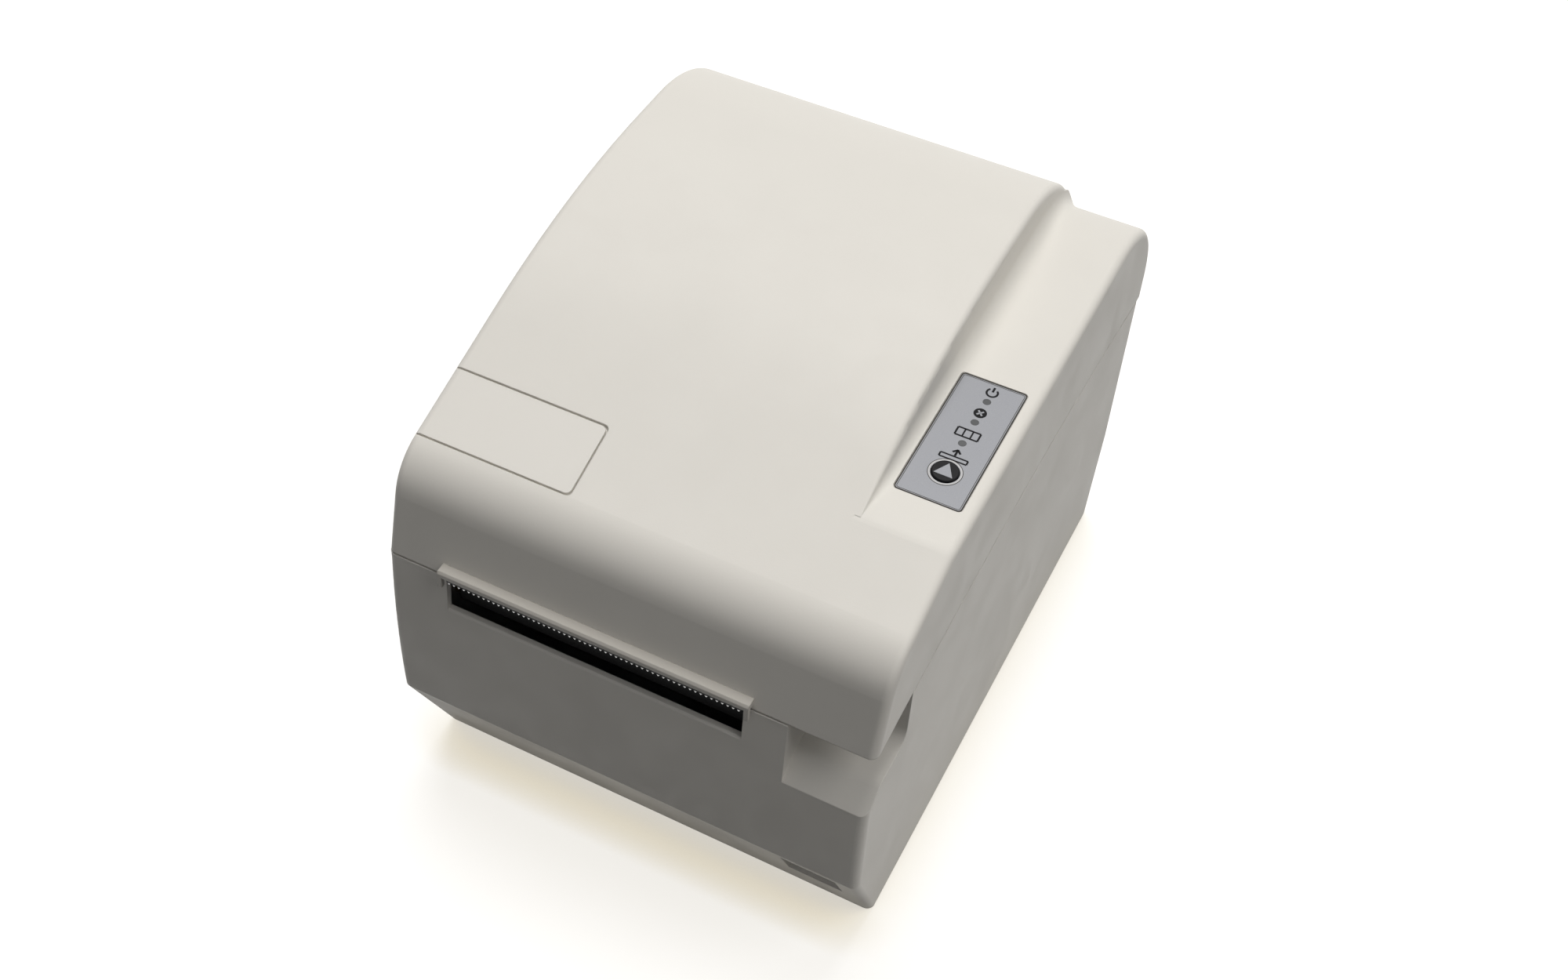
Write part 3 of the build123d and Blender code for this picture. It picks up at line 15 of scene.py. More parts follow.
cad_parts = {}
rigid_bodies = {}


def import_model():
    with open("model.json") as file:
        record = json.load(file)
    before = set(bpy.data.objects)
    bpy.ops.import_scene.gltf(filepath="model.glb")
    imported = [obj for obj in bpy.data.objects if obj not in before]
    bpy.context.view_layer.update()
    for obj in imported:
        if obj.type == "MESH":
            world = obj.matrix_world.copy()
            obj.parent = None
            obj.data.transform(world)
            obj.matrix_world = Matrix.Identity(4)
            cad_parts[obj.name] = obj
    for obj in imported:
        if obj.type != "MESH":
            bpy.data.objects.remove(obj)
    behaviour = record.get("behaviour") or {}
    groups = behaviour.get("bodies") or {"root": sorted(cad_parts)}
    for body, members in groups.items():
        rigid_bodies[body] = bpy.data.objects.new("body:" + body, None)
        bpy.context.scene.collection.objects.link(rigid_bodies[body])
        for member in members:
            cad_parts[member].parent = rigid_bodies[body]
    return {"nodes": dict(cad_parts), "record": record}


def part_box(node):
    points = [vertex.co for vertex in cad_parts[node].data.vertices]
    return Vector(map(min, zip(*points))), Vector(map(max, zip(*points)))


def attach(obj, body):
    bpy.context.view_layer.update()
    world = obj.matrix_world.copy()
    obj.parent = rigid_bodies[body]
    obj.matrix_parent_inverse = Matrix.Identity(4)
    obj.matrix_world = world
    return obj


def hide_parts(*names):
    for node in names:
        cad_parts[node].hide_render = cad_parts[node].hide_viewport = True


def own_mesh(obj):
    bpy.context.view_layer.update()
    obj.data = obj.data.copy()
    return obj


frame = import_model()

for thing in list(bpy.data.objects):
    if thing.name not in frame["nodes"] and not thing.name.startswith("body"):
        if thing.type in {"CAMERA", "LIGHT"} or thing.name == "Cube":
            bpy.data.objects.remove(thing)
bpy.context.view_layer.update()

# %% [markdown]
# Lengths in this lesson are easier to read in millimetres, so one factor turns them into metres.
# A depth is measured back from the front face of the case, as a maker would with a ruler.

# %% Measures
MM = 0.001
FRONT_Y = -121.5
BROW_DEPTH, BROW_Z = 8.7, 154.5
CROWN_SLOPE = 0.32
STRIP_DEPTH = 49.3
STRIP_ANGLE = math.atan(0.035)
STRIP_Z = BROW_Z + CROWN_SLOPE * (STRIP_DEPTH - BROW_DEPTH)


def place(x, depth, z):
    """Point in metres from millimetres: across, behind the front face, and up."""
    return Vector((x, FRONT_Y + depth, z)) * MM


def on_strip(x, along, lift):
    """Point on the lower strip of the lid: across, up the strip, and above its surface."""
    depth = STRIP_DEPTH + along * math.cos(STRIP_ANGLE) - lift * math.sin(STRIP_ANGLE)
    z = STRIP_Z + along * math.sin(STRIP_ANGLE) + lift * math.cos(STRIP_ANGLE)
    return place(x, depth, z)


print("strip starts", [round(v, 4) for v in on_strip(57.3, 0, 0)])

# %% [markdown]
# Every new piece needs the same few steps: a mesh, a finish and a body to ride on. One helper
# does them all.

# %% Helpers for new pieces
def add_piece(name, mesh, finish, body, stands_for=()):
    """Put a mesh in the scene as a piece of the printer."""
    mesh.materials.clear()
    mesh.materials.append(finish)
    piece = bpy.data.objects.new(name, mesh)
    bpy.context.scene.collection.objects.link(piece)
    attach(piece, body)
    if stands_for:
        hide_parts(*stands_for)
    print(name, "has", len(mesh.polygons), "faces")
    return piece


def mesh_from(name, points, faces):
    """Flat-shaded mesh from points in metres and faces as lists of point numbers."""
    mesh = bpy.data.meshes.new(name)
    mesh.from_pydata([tuple(point) for point in points], [], faces)
    mesh.update()
    work = bmesh.new()
    work.from_mesh(mesh)
    bmesh.ops.recalc_face_normals(work, faces=work.faces)
    work.to_mesh(mesh)
    work.free()
    mesh.shade_flat()
    return mesh


def plate_faces(start, count):
    """Faces of a thin plate whose two outlines have count points each, one after the other."""
    faces = [list(range(start, start + count)), list(range(start + count, start + 2 * count))]
    for index in range(count):
        here, after = start + index, start + (index + 1) % count
        faces.append((here, after, after + count, here + count))
    return faces


# %% [markdown]
# The camera stands to the front right of the printer and looks down at it steeply. Its place and
# its lens were found by fitting the straight edges of the case. The picture was cut from a
# larger frame, which the two shifts put back.

# %% Camera
PHOTO_WIDTH, PHOTO_HEIGHT = 2000, 1250
FOCAL_PIXELS, CENTRE_X, CENTRE_Y = 2639.1, 862.04, 522.7
SENSOR_WIDTH = 36.0
STAND = Vector((201.8, -482.8, 640.7)) * MM
azimuth, elevation, roll = math.radians(27.04), math.radians(44.81), math.radians(1.5)
flat = math.cos(elevation)
back = Vector((math.sin(azimuth) * flat, -math.cos(azimuth) * flat, math.sin(elevation)))
level = Vector((math.cos(azimuth), math.sin(azimuth), 0))
upright = back.cross(level)
right = level * math.cos(roll) + upright * math.sin(roll)
up = upright * math.cos(roll) - level * math.sin(roll)
camera_data = bpy.data.cameras.new("camera")
camera_data.sensor_width = SENSOR_WIDTH
camera_data.lens = SENSOR_WIDTH * FOCAL_PIXELS / PHOTO_WIDTH
camera_data.shift_x = (PHOTO_WIDTH / 2 - CENTRE_X) / PHOTO_WIDTH
camera_data.shift_y = (CENTRE_Y - PHOTO_HEIGHT / 2) / PHOTO_WIDTH
camera_data.clip_start = 0.05
camera = bpy.data.objects.new("camera", camera_data)
camera.matrix_world = Matrix.Translation(STAND) @ Matrix((right, up, back)).transposed().to_4x4()
bpy.context.scene.collection.objects.link(camera)
bpy.context.scene.camera = camera
print("lens", round(camera_data.lens, 1), "mm")

# %% [markdown]
# A finish is a small tree of nodes. These helpers add the nodes that most trees share. A value
# may be a plain number or colour, or the output of another node.

# %% Helpers for nodes
def fill(tree, node, values):
    """Give inputs of a node, found by name or number, a constant or a link."""
    for label, value in values.items():
        if isinstance(value, bpy.types.NodeSocket):
            tree.links.new(value, node.inputs[label])
        else:
            node.inputs[label].default_value = value


def add_node(tree, kind, values, **settings):
    """New node with its settings and its inputs."""
    node = tree.nodes.new(kind)
    for label, value in settings.items():
        setattr(node, label, value)
    fill(tree, node, values)
    return node


def math_node(tree, operation, first, second):
    """Result of one step of arithmetic."""
    values = {0: first, 1: second}
    return add_node(tree, "ShaderNodeMath", values, operation=operation).outputs[0]


def map_range(tree, value, source=(0.0, 1.0), target=(0.0, 1.0)):
    """Value moved from one range to another."""
    values = {"Value": value, "From Min": source[0], "From Max": source[1]}
    values.update({"To Min": target[0], "To Max": target[1]})
    return add_node(tree, "ShaderNodeMapRange", values).outputs[0]


def colour_mix(tree, factor, first, second, blend="MIX"):
    """Mix of two colours."""
    node = add_node(tree, "ShaderNodeMix", {}, data_type="RGBA", blend_type=blend)
    fill(tree, node, {"Factor": factor, "A": first, "B": second})
    return node.outputs["Result"]


def object_point(tree):
    """Place of a point in the object's own space."""
    return tree.nodes.new("ShaderNodeTexCoord").outputs["Object"]


def noise(tree, point, scale, **more):
    """Noise at a point."""
    values = {"Vector": point, "Scale": scale, **more}
    return add_node(tree, "ShaderNodeTexNoise", values).outputs["Fac"]


def bump(tree, height, strength, distance, **more):
    """Normal with a fine relief."""
    values = {"Height": height, "Strength": strength, "Distance": distance, **more}
    return add_node(tree, "ShaderNodeBump", values).outputs[0]


def new_finish(name):
    """Material, its node tree and its main shader."""
    finish = bpy.data.materials.new(name)
    finish.use_nodes = True
    return finish, finish.node_tree, finish.node_tree.nodes["Principled BSDF"]


def white_for_sight(tree):
    """Output that is 1 for rays that look at a backdrop: from the camera, a reflection or glass."""
    rays = tree.nodes.new("ShaderNodeLightPath").outputs
    both = math_node(tree, "MAXIMUM", rays["Is Camera Ray"], rays["Is Glossy Ray"])
    return math_node(tree, "MAXIMUM", both, rays["Is Transmission Ray"])


print("node helpers ready")

# %% [markdown]
# Four lamps make the light of a catalogue picture. A broad one hangs overhead, a little behind
# the printer: the lid is bright and the front is in shade. A weaker one to the right lifts that
# side, and another does the same for the left side and the back. A faint one high in front
# draws the rounded lower edges. Sun lamps with wide discs light the whole floor evenly. The
# backdrop is white only where the camera or a reflection looks at it, so it adds no light.

# %% Lamps and world
LAMP_COLOUR = (1.0, 0.985, 0.955)


def wide_lamp(name, towards, strength, disc):
    """Sun lamp that stands in a direction, with a disc of the given width in degrees."""
    data = bpy.data.lights.new(name, "SUN")
    data.energy, data.angle, data.color = strength, math.radians(disc), LAMP_COLOUR
    lamp = bpy.data.objects.new(name, data)
    lamp.rotation_euler = Vector(towards).to_track_quat("Z", "Y").to_euler()
    bpy.context.scene.collection.objects.link(lamp)


wide_lamp("overhead", (-0.14, 0.34, 1.0), 1.90, 35)
wide_lamp("right_side", (1.0, 0.05, 1.20), 1.08, 40)
wide_lamp("rear_left", (-1.0, 0.55, 0.20), 0.55, 60)
wide_lamp("front_high", (0.10, -1.0, 1.40), 0.10, 50)

world = bpy.data.worlds.new("pale_room")
bpy.context.scene.world = world
world.use_nodes = True
tree = world.node_tree
tree.nodes.clear()
room = add_node(tree, "ShaderNodeBackground", {"Color": (0.96, 0.97, 1.0, 1), "Strength": 0.075})
seen = add_node(tree, "ShaderNodeBackground", {"Color": (1, 1, 1, 1), "Strength": 1.0})
chosen = {"Fac": white_for_sight(tree), 1: room.outputs[0], 2: seen.outputs[0]}
choose = add_node(tree, "ShaderNodeMixShader", chosen)
add_node(tree, "ShaderNodeOutputWorld", {"Surface": choose.outputs[0]})
bpy.context.scene.view_settings.view_transform = "Standard"
print("lamps", [lamp.name for lamp in bpy.data.lights])

# %% [markdown]
# The floor is a plain sheet of white paper. For the camera it has a glow of its own, which joins
# it to the white backdrop and leaves the shadow soft. Close to the foot of the case a brownish,
# dark contact shadow is painted on the paper, and an ambient occlusion mask finds that line. It
# is at full strength only in front of the printer. For light that bounces the floor is a darker
# grey, so that the front of the case keeps its shade.

# %% Floor
FLOOR_HALF = 3.0
BOUNCE_GREY, SIGHT_GREY = (0.085, 0.083, 0.08, 1), (0.36, 0.38, 0.42, 1)
GLOW_COLOUR = (0.80, 0.775, 0.725, 1)
CONTACT_REACH = 0.022
floor_finish = bpy.data.materials.new("floor_paper")
floor_finish.use_nodes = True
tree = floor_finish.node_tree
tree.nodes.clear()
sight = white_for_sight(tree)
# Painted contact shadow: the ramp turns the paper dark and brownish where the case stands close
# above it.
near = add_node(tree, "ShaderNodeAmbientOcclusion", {"Distance": CONTACT_REACH}, samples=16)
contact = add_node(tree, "ShaderNodeValToRGB", {"Fac": near.outputs["AO"]})
steps = contact.color_ramp.elements
steps[0].position, steps[0].color = 0.16, (0.10, 0.08, 0.045, 1)
steps[1].position, steps[1].color = 0.92, (1, 1, 1, 1)
steps.new(0.52).color = (0.72, 0.64, 0.44, 1)
painted_contact_shadow = contact.outputs["Color"]
axes = add_node(tree, "ShaderNodeSeparateXYZ", {0: object_point(tree)})
in_front = map_range(tree, axes.outputs["Y"], (-0.095, -0.125), (0.25, 1.0))
grey = colour_mix(tree, sight, BOUNCE_GREY, SIGHT_GREY)
paper_tone = colour_mix(tree, in_front, grey, painted_contact_shadow, "MULTIPLY")
glow_tone = colour_mix(tree, in_front, GLOW_COLOUR, painted_contact_shadow, "MULTIPLY")
paper = add_node(tree, "ShaderNodeBsdfDiffuse", {"Color": paper_tone})
glow = add_node(tree, "ShaderNodeEmission", {"Color": glow_tone, "Strength": sight})
both = add_node(tree, "ShaderNodeAddShader", {0: paper.outputs[0], 1: glow.outputs[0]})
add_node(tree, "ShaderNodeOutputMaterial", {"Surface": both.outputs[0]})
corners = [(x * FLOOR_HALF, y * FLOOR_HALF, 0) for x, y in ((-1, -1), (1, -1), (1, 1), (-1, 1))]
floor_mesh = mesh_from("floor", corners, [(0, 1, 2, 3)])
floor_mesh.materials.append(floor_finish)
floor = bpy.data.objects.new("floor", floor_mesh)
bpy.context.scene.collection.objects.link(floor)
print("floor is", 2 * FLOOR_HALF, "m wide")

# %% [markdown]
# Several finishes share the same effects. Each effect is a node group with its own named
# inputs, built once. The first is the fine spark grain that a mould leaves on plastic.

# %% Shared effect: moulded grain
def new_group(name, inputs, outputs):
    """Empty shader group with float inputs given as (name, default) and float outputs."""
    group = bpy.data.node_groups.new(name, "ShaderNodeTree")
    for label, default in inputs:
        socket = group.interface.new_socket(label, in_out="INPUT", socket_type="NodeSocketFloat")
        socket.default_value = default
    for label in outputs:
        group.interface.new_socket(label, in_out="OUTPUT", socket_type="NodeSocketFloat")
    given, result = group.nodes.new("NodeGroupInput"), group.nodes.new("NodeGroupOutput")
    return group, given.outputs, result


grain_group, size, result = new_group(
    "moulded_grain", [("Grain Size", 0.0004), ("Wave Size", 0.03)], ["Height", "Mottle"]
)
point = object_point(grain_group)
fine_scale = math_node(grain_group, "DIVIDE", 1.0, size["Grain Size"])
broad_scale = math_node(grain_group, "DIVIDE", 1.0, size["Wave Size"])
fine = noise(grain_group, point, fine_scale, Detail=2.0, Roughness=0.6)
broad = noise(grain_group, point, broad_scale, Detail=3.0)
fill(grain_group, result, {"Height": fine, "Mottle": broad})
print("group", grain_group.name)

# %% [markdown]
# The second effect is handling: faint smears, where fingers polish the surface a little, and a
# few fine specks of dust that lie on faces that look up.

# %% Shared effect: handling and dust
wear_group, size, result = new_group(
    "handling", [("Smear Size", 0.02), ("Dust", 0.3)], ["Polish", "Dust"]
)
point = object_point(wear_group)
smear_scale = math_node(wear_group, "DIVIDE", 1.0, size["Smear Size"])
smear = noise(wear_group, point, smear_scale, Detail=4.0, Distortion=1.2)
few = map_range(wear_group, noise(wear_group, point, 900.0), (0.62, 0.74))
surface = wear_group.nodes.new("ShaderNodeNewGeometry")
split = add_node(wear_group, "ShaderNodeSeparateXYZ", {0: surface.outputs["True Normal"]})
upward = math_node(wear_group, "MAXIMUM", split.outputs["Z"], 0.0)
lying = math_node(wear_group, "MULTIPLY", few, upward)
specks = math_node(wear_group, "MULTIPLY", lying, size["Dust"])
fill(wear_group, result, {"Polish": smear, "Dust": specks})
print("group", wear_group.name)

# %% [markdown]
# Moulded plastic is one colour right through. What makes it look real is small: the colour
# drifts a little over a hand's width, the gloss changes where it is touched, and the grain
# breaks up every reflection. One function mixes the two effects for all the plastics.

# %% Moulded plastics
DUST_COLOUR = (0.55, 0.53, 0.50, 1)
GRAIN_HEIGHT = 0.00004
GLOSS_CHANGE = 0.05


def plastic(
    name, colour, roughness, grain_mm, depth, drift, dust, coat=0.0, soft=0.0, shine=0.4
):
    """Plastic with grain, drifting colour, handled gloss and, where soft is set, rounded edges."""
    finish, tree, shader = new_finish(name)
    grain = add_node(tree, "ShaderNodeGroup", {"Grain Size": grain_mm * MM}, node_tree=grain_group)
    wear = add_node(tree, "ShaderNodeGroup", {"Dust": dust}, node_tree=wear_group)
    darker = (*[c * (1 - drift) for c in colour], 1)
    lighter = (*[min(1, c * (1 + drift)) for c in colour], 1)
    clean = colour_mix(tree, grain.outputs["Mottle"], darker, lighter)
    gloss = (roughness - GLOSS_CHANGE, roughness + GLOSS_CHANGE)
    rounded = {}
    if soft:
        bevel = add_node(tree, "ShaderNodeBevel", {"Radius": soft * MM}, samples=6)
        rounded["Normal"] = bevel.outputs[0]
    values = {
        "Base Color": colour_mix(tree, wear.outputs["Dust"], clean, DUST_COLOUR),
        "Roughness": map_range(tree, wear.outputs["Polish"], (0.3, 0.7), gloss),
        "Normal": bump(tree, grain.outputs["Height"], depth, GRAIN_HEIGHT, **rounded),
        "Specular IOR Level": shine,
        "Coat Weight": coat,
    }
    fill(tree, shader, values)
    return finish


# name, colour, roughness, grain in mm, depth of the grain, drift of the colour, dust
ivory = plastic("ivory_case", (0.752, 0.730, 0.686), 0.52, 0.5, 0.5, 0.015, 0.03, soft=0.45)
ivory_plate = plastic("ivory_plate", (0.752, 0.730, 0.688), 0.42, 0.3, 0.15, 0.01, 0.02, soft=0.3)
# The tear guard is the case's ivory painted darker, as painted shade from the lid's brow above it.
shaded_ivory_guard = plastic("shaded_ivory_guard", (0.50, 0.478, 0.44), 0.45, 0.4, 0.3, 0.02, 0.03, soft=0.6)
charcoal = plastic("charcoal_plastic", (0.042, 0.042, 0.044), 0.55, 0.6, 0.5, 0.08, 0.15)
guide_grey = plastic("guide_grey", (0.115, 0.117, 0.122), 0.48, 0.5, 0.4, 0.06, 0.1)
black = plastic("black_plastic", (0.010, 0.010, 0.011), 0.42, 0.4, 0.3, 0.1, 0.05)
key_black = plastic("key_black", (0.004, 0.004, 0.005), 0.5, 0.3, 0.2, 0.1, 0.0, shine=0.15)
smoke = plastic("smoke_lens", (0.045, 0.048, 0.052), 0.22, 0.3, 0.05, 0.05, 0.0, coat=0.3)
acetal = plastic("acetal_gear", (0.66, 0.63, 0.54), 0.38, 0.3, 0.1, 0.03, 0.05)
glaze = plastic("head_glaze", (0.48, 0.46, 0.42), 0.16, 0.8, 0.03, 0.04, 0.02, coat=0.5)
motor_paint = plastic("motor_paint", (0.045, 0.046, 0.05), 0.38, 0.8, 0.6, 0.06, 0.05)
print("plastics", [m.name for m in bpy.data.materials if "plastic" in m.name])

# %% [markdown]
# Metal takes its look from fine parallel scratches left by rolling or turning. Noise that is
# stretched along one direction gives them: it drives the roughness and a very shallow bump.

# %% Metals
SCRATCH_GLOSS, SCRATCH_SHADE, SCRATCH_HEIGHT = 0.12, 0.82, 0.00002


def metal(name, colour, roughness, stretch):
    """Metal with scratches along the direction in which the stretch is smallest."""
    finish, tree, shader = new_finish(name)
    pull = add_node(tree, "ShaderNodeMapping", {"Vector": object_point(tree), "Scale": stretch})
    lines = noise(tree, pull.outputs[0], 1.0, Detail=3.0)
    dark = (*[c * SCRATCH_SHADE for c in colour], 1)
    gloss = (roughness - SCRATCH_GLOSS, roughness + SCRATCH_GLOSS)
    values = {
        "Metallic": 1.0,
        "Base Color": colour_mix(tree, lines, dark, (*colour, 1)),
        "Roughness": map_range(tree, lines, target=gloss),
        "Normal": bump(tree, lines, 0.25, SCRATCH_HEIGHT),
    }
    fill(tree, shader, values)
    return finish


steel = metal("rolled_steel", (0.55, 0.55, 0.56), 0.34, (60, 2500, 2500))
turned = metal("turned_steel", (0.60, 0.60, 0.61), 0.26, (3000, 400, 400))
plated = metal("plated_sheet", (0.50, 0.50, 0.49), 0.42, (120, 120, 1500))
brass = metal("turned_brass", (0.66, 0.48, 0.20), 0.30, (3000, 300, 300))
alloy = metal("drawn_alloy", (0.68, 0.69, 0.71), 0.36, (40, 2200, 2200))
print("metals", steel.name, turned.name, plated.name, brass.name, alloy.name)

# %% [markdown]
# The tear blade is steel. Only the tips of its teeth keep the bright steel colour; above them the
# blade is painted near black, for the shade behind the guard. The change is a band at a fixed
# height, so the height of each point picks the colour.

# %% Blade with painted shade above the tips
# Painted shade: above its tips the blade is coloured near black.
TIPS_END, SHADE_FROM = 0.45 * MM, 0.75 * MM
PAINTED_SHADE_BLACK = (0.012, 0.012, 0.012, 1)
blade_finish = metal("blade_painted_shade", (0.60, 0.60, 0.60), 0.34, (60, 2500, 2500))
tree = blade_finish.node_tree
shader = tree.nodes["Principled BSDF"]
tip_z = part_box("tear_blade")[0].z
axes = add_node(tree, "ShaderNodeSeparateXYZ", {0: object_point(tree)})
above = map_range(tree, axes.outputs["Z"], (tip_z + TIPS_END, tip_z + SHADE_FROM))
bright = shader.inputs["Base Color"].links[0].from_socket
fill(tree, shader, {"Base Color": colour_mix(tree, above, bright, PAINTED_SHADE_BLACK)})
print("tips below", round(tip_z + TIPS_END, 5))

# %% [markdown]
# Rubber scatters light and shows almost no highlight. The platen and the feet share one finish,
# which holds more dust than the plastics do.

# %% Rubber
rubber = plastic("moulded_rubber", (0.018, 0.018, 0.018), 0.78, 0.7, 0.6, 0.1, 0.35)
print("rubber", rubber.name)

# %% [markdown]
# A circuit board is green lacquer over copper. The copper tracks show through as a slightly
# lighter green, in straight runs that turn at right angles. A brick pattern whose cells change
# at random gives that without drawing each track.

# %% Circuit board lacquer
lacquer, tree, shader = new_finish("board_lacquer")
pattern = {
    "Vector": object_point(tree),
    "Scale": 130.0,
    "Mortar Size": 0.035,
    "Mortar Smooth": 0.1,
    "Brick Width": 1.6,
    "Row Height": 0.3,
    "Color1": (0.004, 0.055, 0.022, 1),
    "Color2": (0.006, 0.075, 0.030, 1),
    "Mortar": (0.02, 0.16, 0.06, 1),
}
tracks = add_node(tree, "ShaderNodeTexBrick", pattern).outputs
values = {
    "Base Color": tracks["Color"],
    "Normal": bump(tree, tracks["Fac"], 0.3, 0.00003),
    "Roughness": 0.28,
    "Coat Weight": 0.4,
}
fill(tree, shader, values)
print("board", lacquer.name)

# %% [markdown]
# The key panel is a thin polyester sheet, sprayed silver-grey on its back. The pigment has a
# faint metallic sparkle, which a fine noise gives to the colour and the roughness. The printed
# inks are dull and nearly black.

# %% Panel sheet and inks
DARK_SILVER, PALE_SILVER = (0.215, 0.222, 0.245, 1), (0.315, 0.323, 0.350, 1)
silver, tree, shader = new_finish("panel_silver")
flake = noise(tree, object_point(tree), 5200.0, Detail=1.0)
values = {
    "Metallic": 0.15,
    "Base Color": colour_mix(tree, flake, DARK_SILVER, PALE_SILVER),
    "Roughness": map_range(tree, flake, target=(0.38, 0.55)),
}
fill(tree, shader, values)
ink = plastic("black_ink", (0.004, 0.004, 0.005), 0.5, 0.2, 0.1, 0.1, 0.0, shine=0.1)
rim_ink = plastic("rim_ink", (0.045, 0.040, 0.034), 0.5, 0.2, 0.1, 0.1, 0.0, shine=0.1)
pale_ring = plastic("pale_ring", (0.52, 0.52, 0.53), 0.4, 0.2, 0.1, 0.03, 0.0)
print("inks", ink.name, rim_ink.name, pale_ring.name)

# %% [markdown]
# Each solid takes the finish of its real material.

# %% Finishes on the solids
finish_of = {
    ivory: "lower_case top_cover",
    ivory_plate: "name_plate",
    shaded_ivory_guard: "tear_guard",
    silver: "control_overlay",
    smoke: "paper_light error_light power_light",
    key_black: "feed_button",
    black: "feed_switch switch_body power_rocker dc_inlet board_chips head_connector",
    guide_grey: "left_roll_guide right_roll_guide left_guide_rack right_guide_rack guide_pinion",
    charcoal: "base_plate media_bay head_carrier cover_flag cover_sensor latch_clips"
    " paper_sensor pinion_clip",
    acetal: "platen_gear idler_gear",
    glaze: "thermal_element",
    rubber: "rubber_feet platen_rubber",
    steel: "case_screws bay_screws frame_screws motor_screws board_screws carrier_screws"
    " serial_socket usb_socket head_springs",
    blade_finish: "tear_blade",
    turned: "hinge_pins head_pivot_pin latch_studs platen_shaft idler_axle motor_shaft",
    plated: "port_panel feed_frame head_bracket",
    motor_paint: "feed_motor",
    brass: "motor_pinion platen_bushings",
    alloy: "head_heatsink board_capacitors",
    lacquer: "main_board panel_board",
}
dressed = set()
for finish, names in finish_of.items():
    for name in names.split():
        node = frame["nodes"][name]
        node.data.materials.clear()
        node.data.materials.append(finish)
        dressed.add(name)
print("dressed", len(dressed), "of", len(frame["nodes"]), "solids")

# %% [markdown]
# The panel carries small printed signs beside the lamps and the key. They are thin films, so
# each is drawn flat on the panel, from closed outlines, and given a little height.

# %% Helpers for printed films
PANEL_TOP, FILM, SUNK = -0.1, 0.03, 0.01


def film(name, outlines, finish, lift=PANEL_TOP, body="cover"):
    """Thin raised film on the strip from closed outlines in millimetres (across, up the strip)."""
    points, faces = [], []
    for outline in outlines:
        faces += plate_faces(len(points), len(outline))
        for height in (lift - SUNK, lift + FILM):
            points += [on_strip(x, along, height) for x, along in outline]
    return add_piece(name, mesh_from(name, points, faces), finish, body)


def along_of(depth):
    """Distance up the strip for a depth behind the front face."""
    return (depth - STRIP_DEPTH) / math.cos(STRIP_ANGLE)


def arc(centre, radius, start, end, steps):
    """Points on an arc, with angles in degrees."""
    turns = [math.radians(start + (end - start) * step / steps) for step in range(steps + 1)]
    x, along = centre
    return [(x + radius * math.cos(turn), along + radius * math.sin(turn)) for turn in turns]


def band(centre, outer, inner, start, end, steps=32):
    """Part of a ring as a closed outline."""
    return arc(centre, outer, start, end, steps) + arc(centre, inner, end, start, steps)


def stroke(a, b, width):
    """Straight bar between two points as a closed outline."""
    direction = Vector((b[0] - a[0], b[1] - a[1])).normalized() * width / 2
    side = Vector((-direction.y, direction.x))
    return [
        (a[0] + side.x, a[1] + side.y),
        (a[0] - side.x, a[1] - side.y),
        (b[0] - side.x, b[1] - side.y),
        (b[0] + side.x, b[1] + side.y),
    ]


def strokes(centre, pairs, width):
    """Bars whose ends are given from a centre, as (across, up, across, up)."""
    x, v = centre
    return [stroke((x + a, v + b), (x + c, v + d), width) for a, b, c, d in pairs]


def outline_box(centre, width, height, line):
    """Four bars that draw the outline of a box."""
    x, v = width / 2, height / 2
    sides = [(-x, -v, x, -v), (-x, v, x, v), (-x, -v, -x, v), (x, -v, x, v)]
    return strokes(centre, sides, line)


print("panel lies", PANEL_TOP, "mm above the strip")

# %% [markdown]
# Plain shapes stand beside the lamps: a ring with a bar for power, a disc with a cross for an
# error and a strip of labels for paper. A bar with an arrow beside the key stands for feeding.

# %% Signs on the key panel
BUTTON_X = 73.0
LAMP_TO_SIGN, KEY_TO_SIGN = 4.6, 8.3
KEY_DEPTH, PAPER_DEPTH, ERROR_DEPTH, POWER_DEPTH = 79.0, 92.9, 103.3, 113.6
SIGN_RADIUS, STRIP_HALF = 2.2, 1.7
power_at = (BUTTON_X, along_of(POWER_DEPTH) + LAMP_TO_SIGN)
error_at = (BUTTON_X, along_of(ERROR_DEPTH) + LAMP_TO_SIGN)
paper_at = (BUTTON_X, along_of(PAPER_DEPTH) + LAMP_TO_SIGN)
feed_at = (BUTTON_X, along_of(KEY_DEPTH) + KEY_TO_SIGN)
label_ends = [(x, -STRIP_HALF, x, STRIP_HALF) for x in (-1.35, 1.35)]
arrow = [(0, -0.5, 0, 2.1), (-1.35, 0.85, 0.1, 2.3), (1.35, 0.85, -0.1, 2.3)]
signs = [band(power_at, SIGN_RADIUS, 1.5, 130, 410)]
signs += strokes(power_at, [(0, 0.3, 0, 2.55)], 0.75)
signs += [arc(error_at, SIGN_RADIUS, 0, 355, 36)]
signs += outline_box(paper_at, 7.8, 3.5, 0.65)
signs += strokes(paper_at, label_ends, 0.55)
signs += outline_box((feed_at[0], feed_at[1] - 1.7), 9.4, 1.7, 0.6)
signs += strokes(feed_at, arrow, 0.75)
film("panel_signs", signs, ink)
cross = strokes(error_at, [(-0.95, -0.95, 0.95, 0.95), (-0.95, 0.95, 0.95, -0.95)], 0.6)
film("sign_cross", cross, silver, lift=PANEL_TOP + FILM + SUNK)

# %% [markdown]
# The key is black with a silver triangle, inside a slim raised ring. The triangle moves with
# the key, so it rides on the key's body and the ring on the lid. A fine double line runs round
# the edge of the panel.

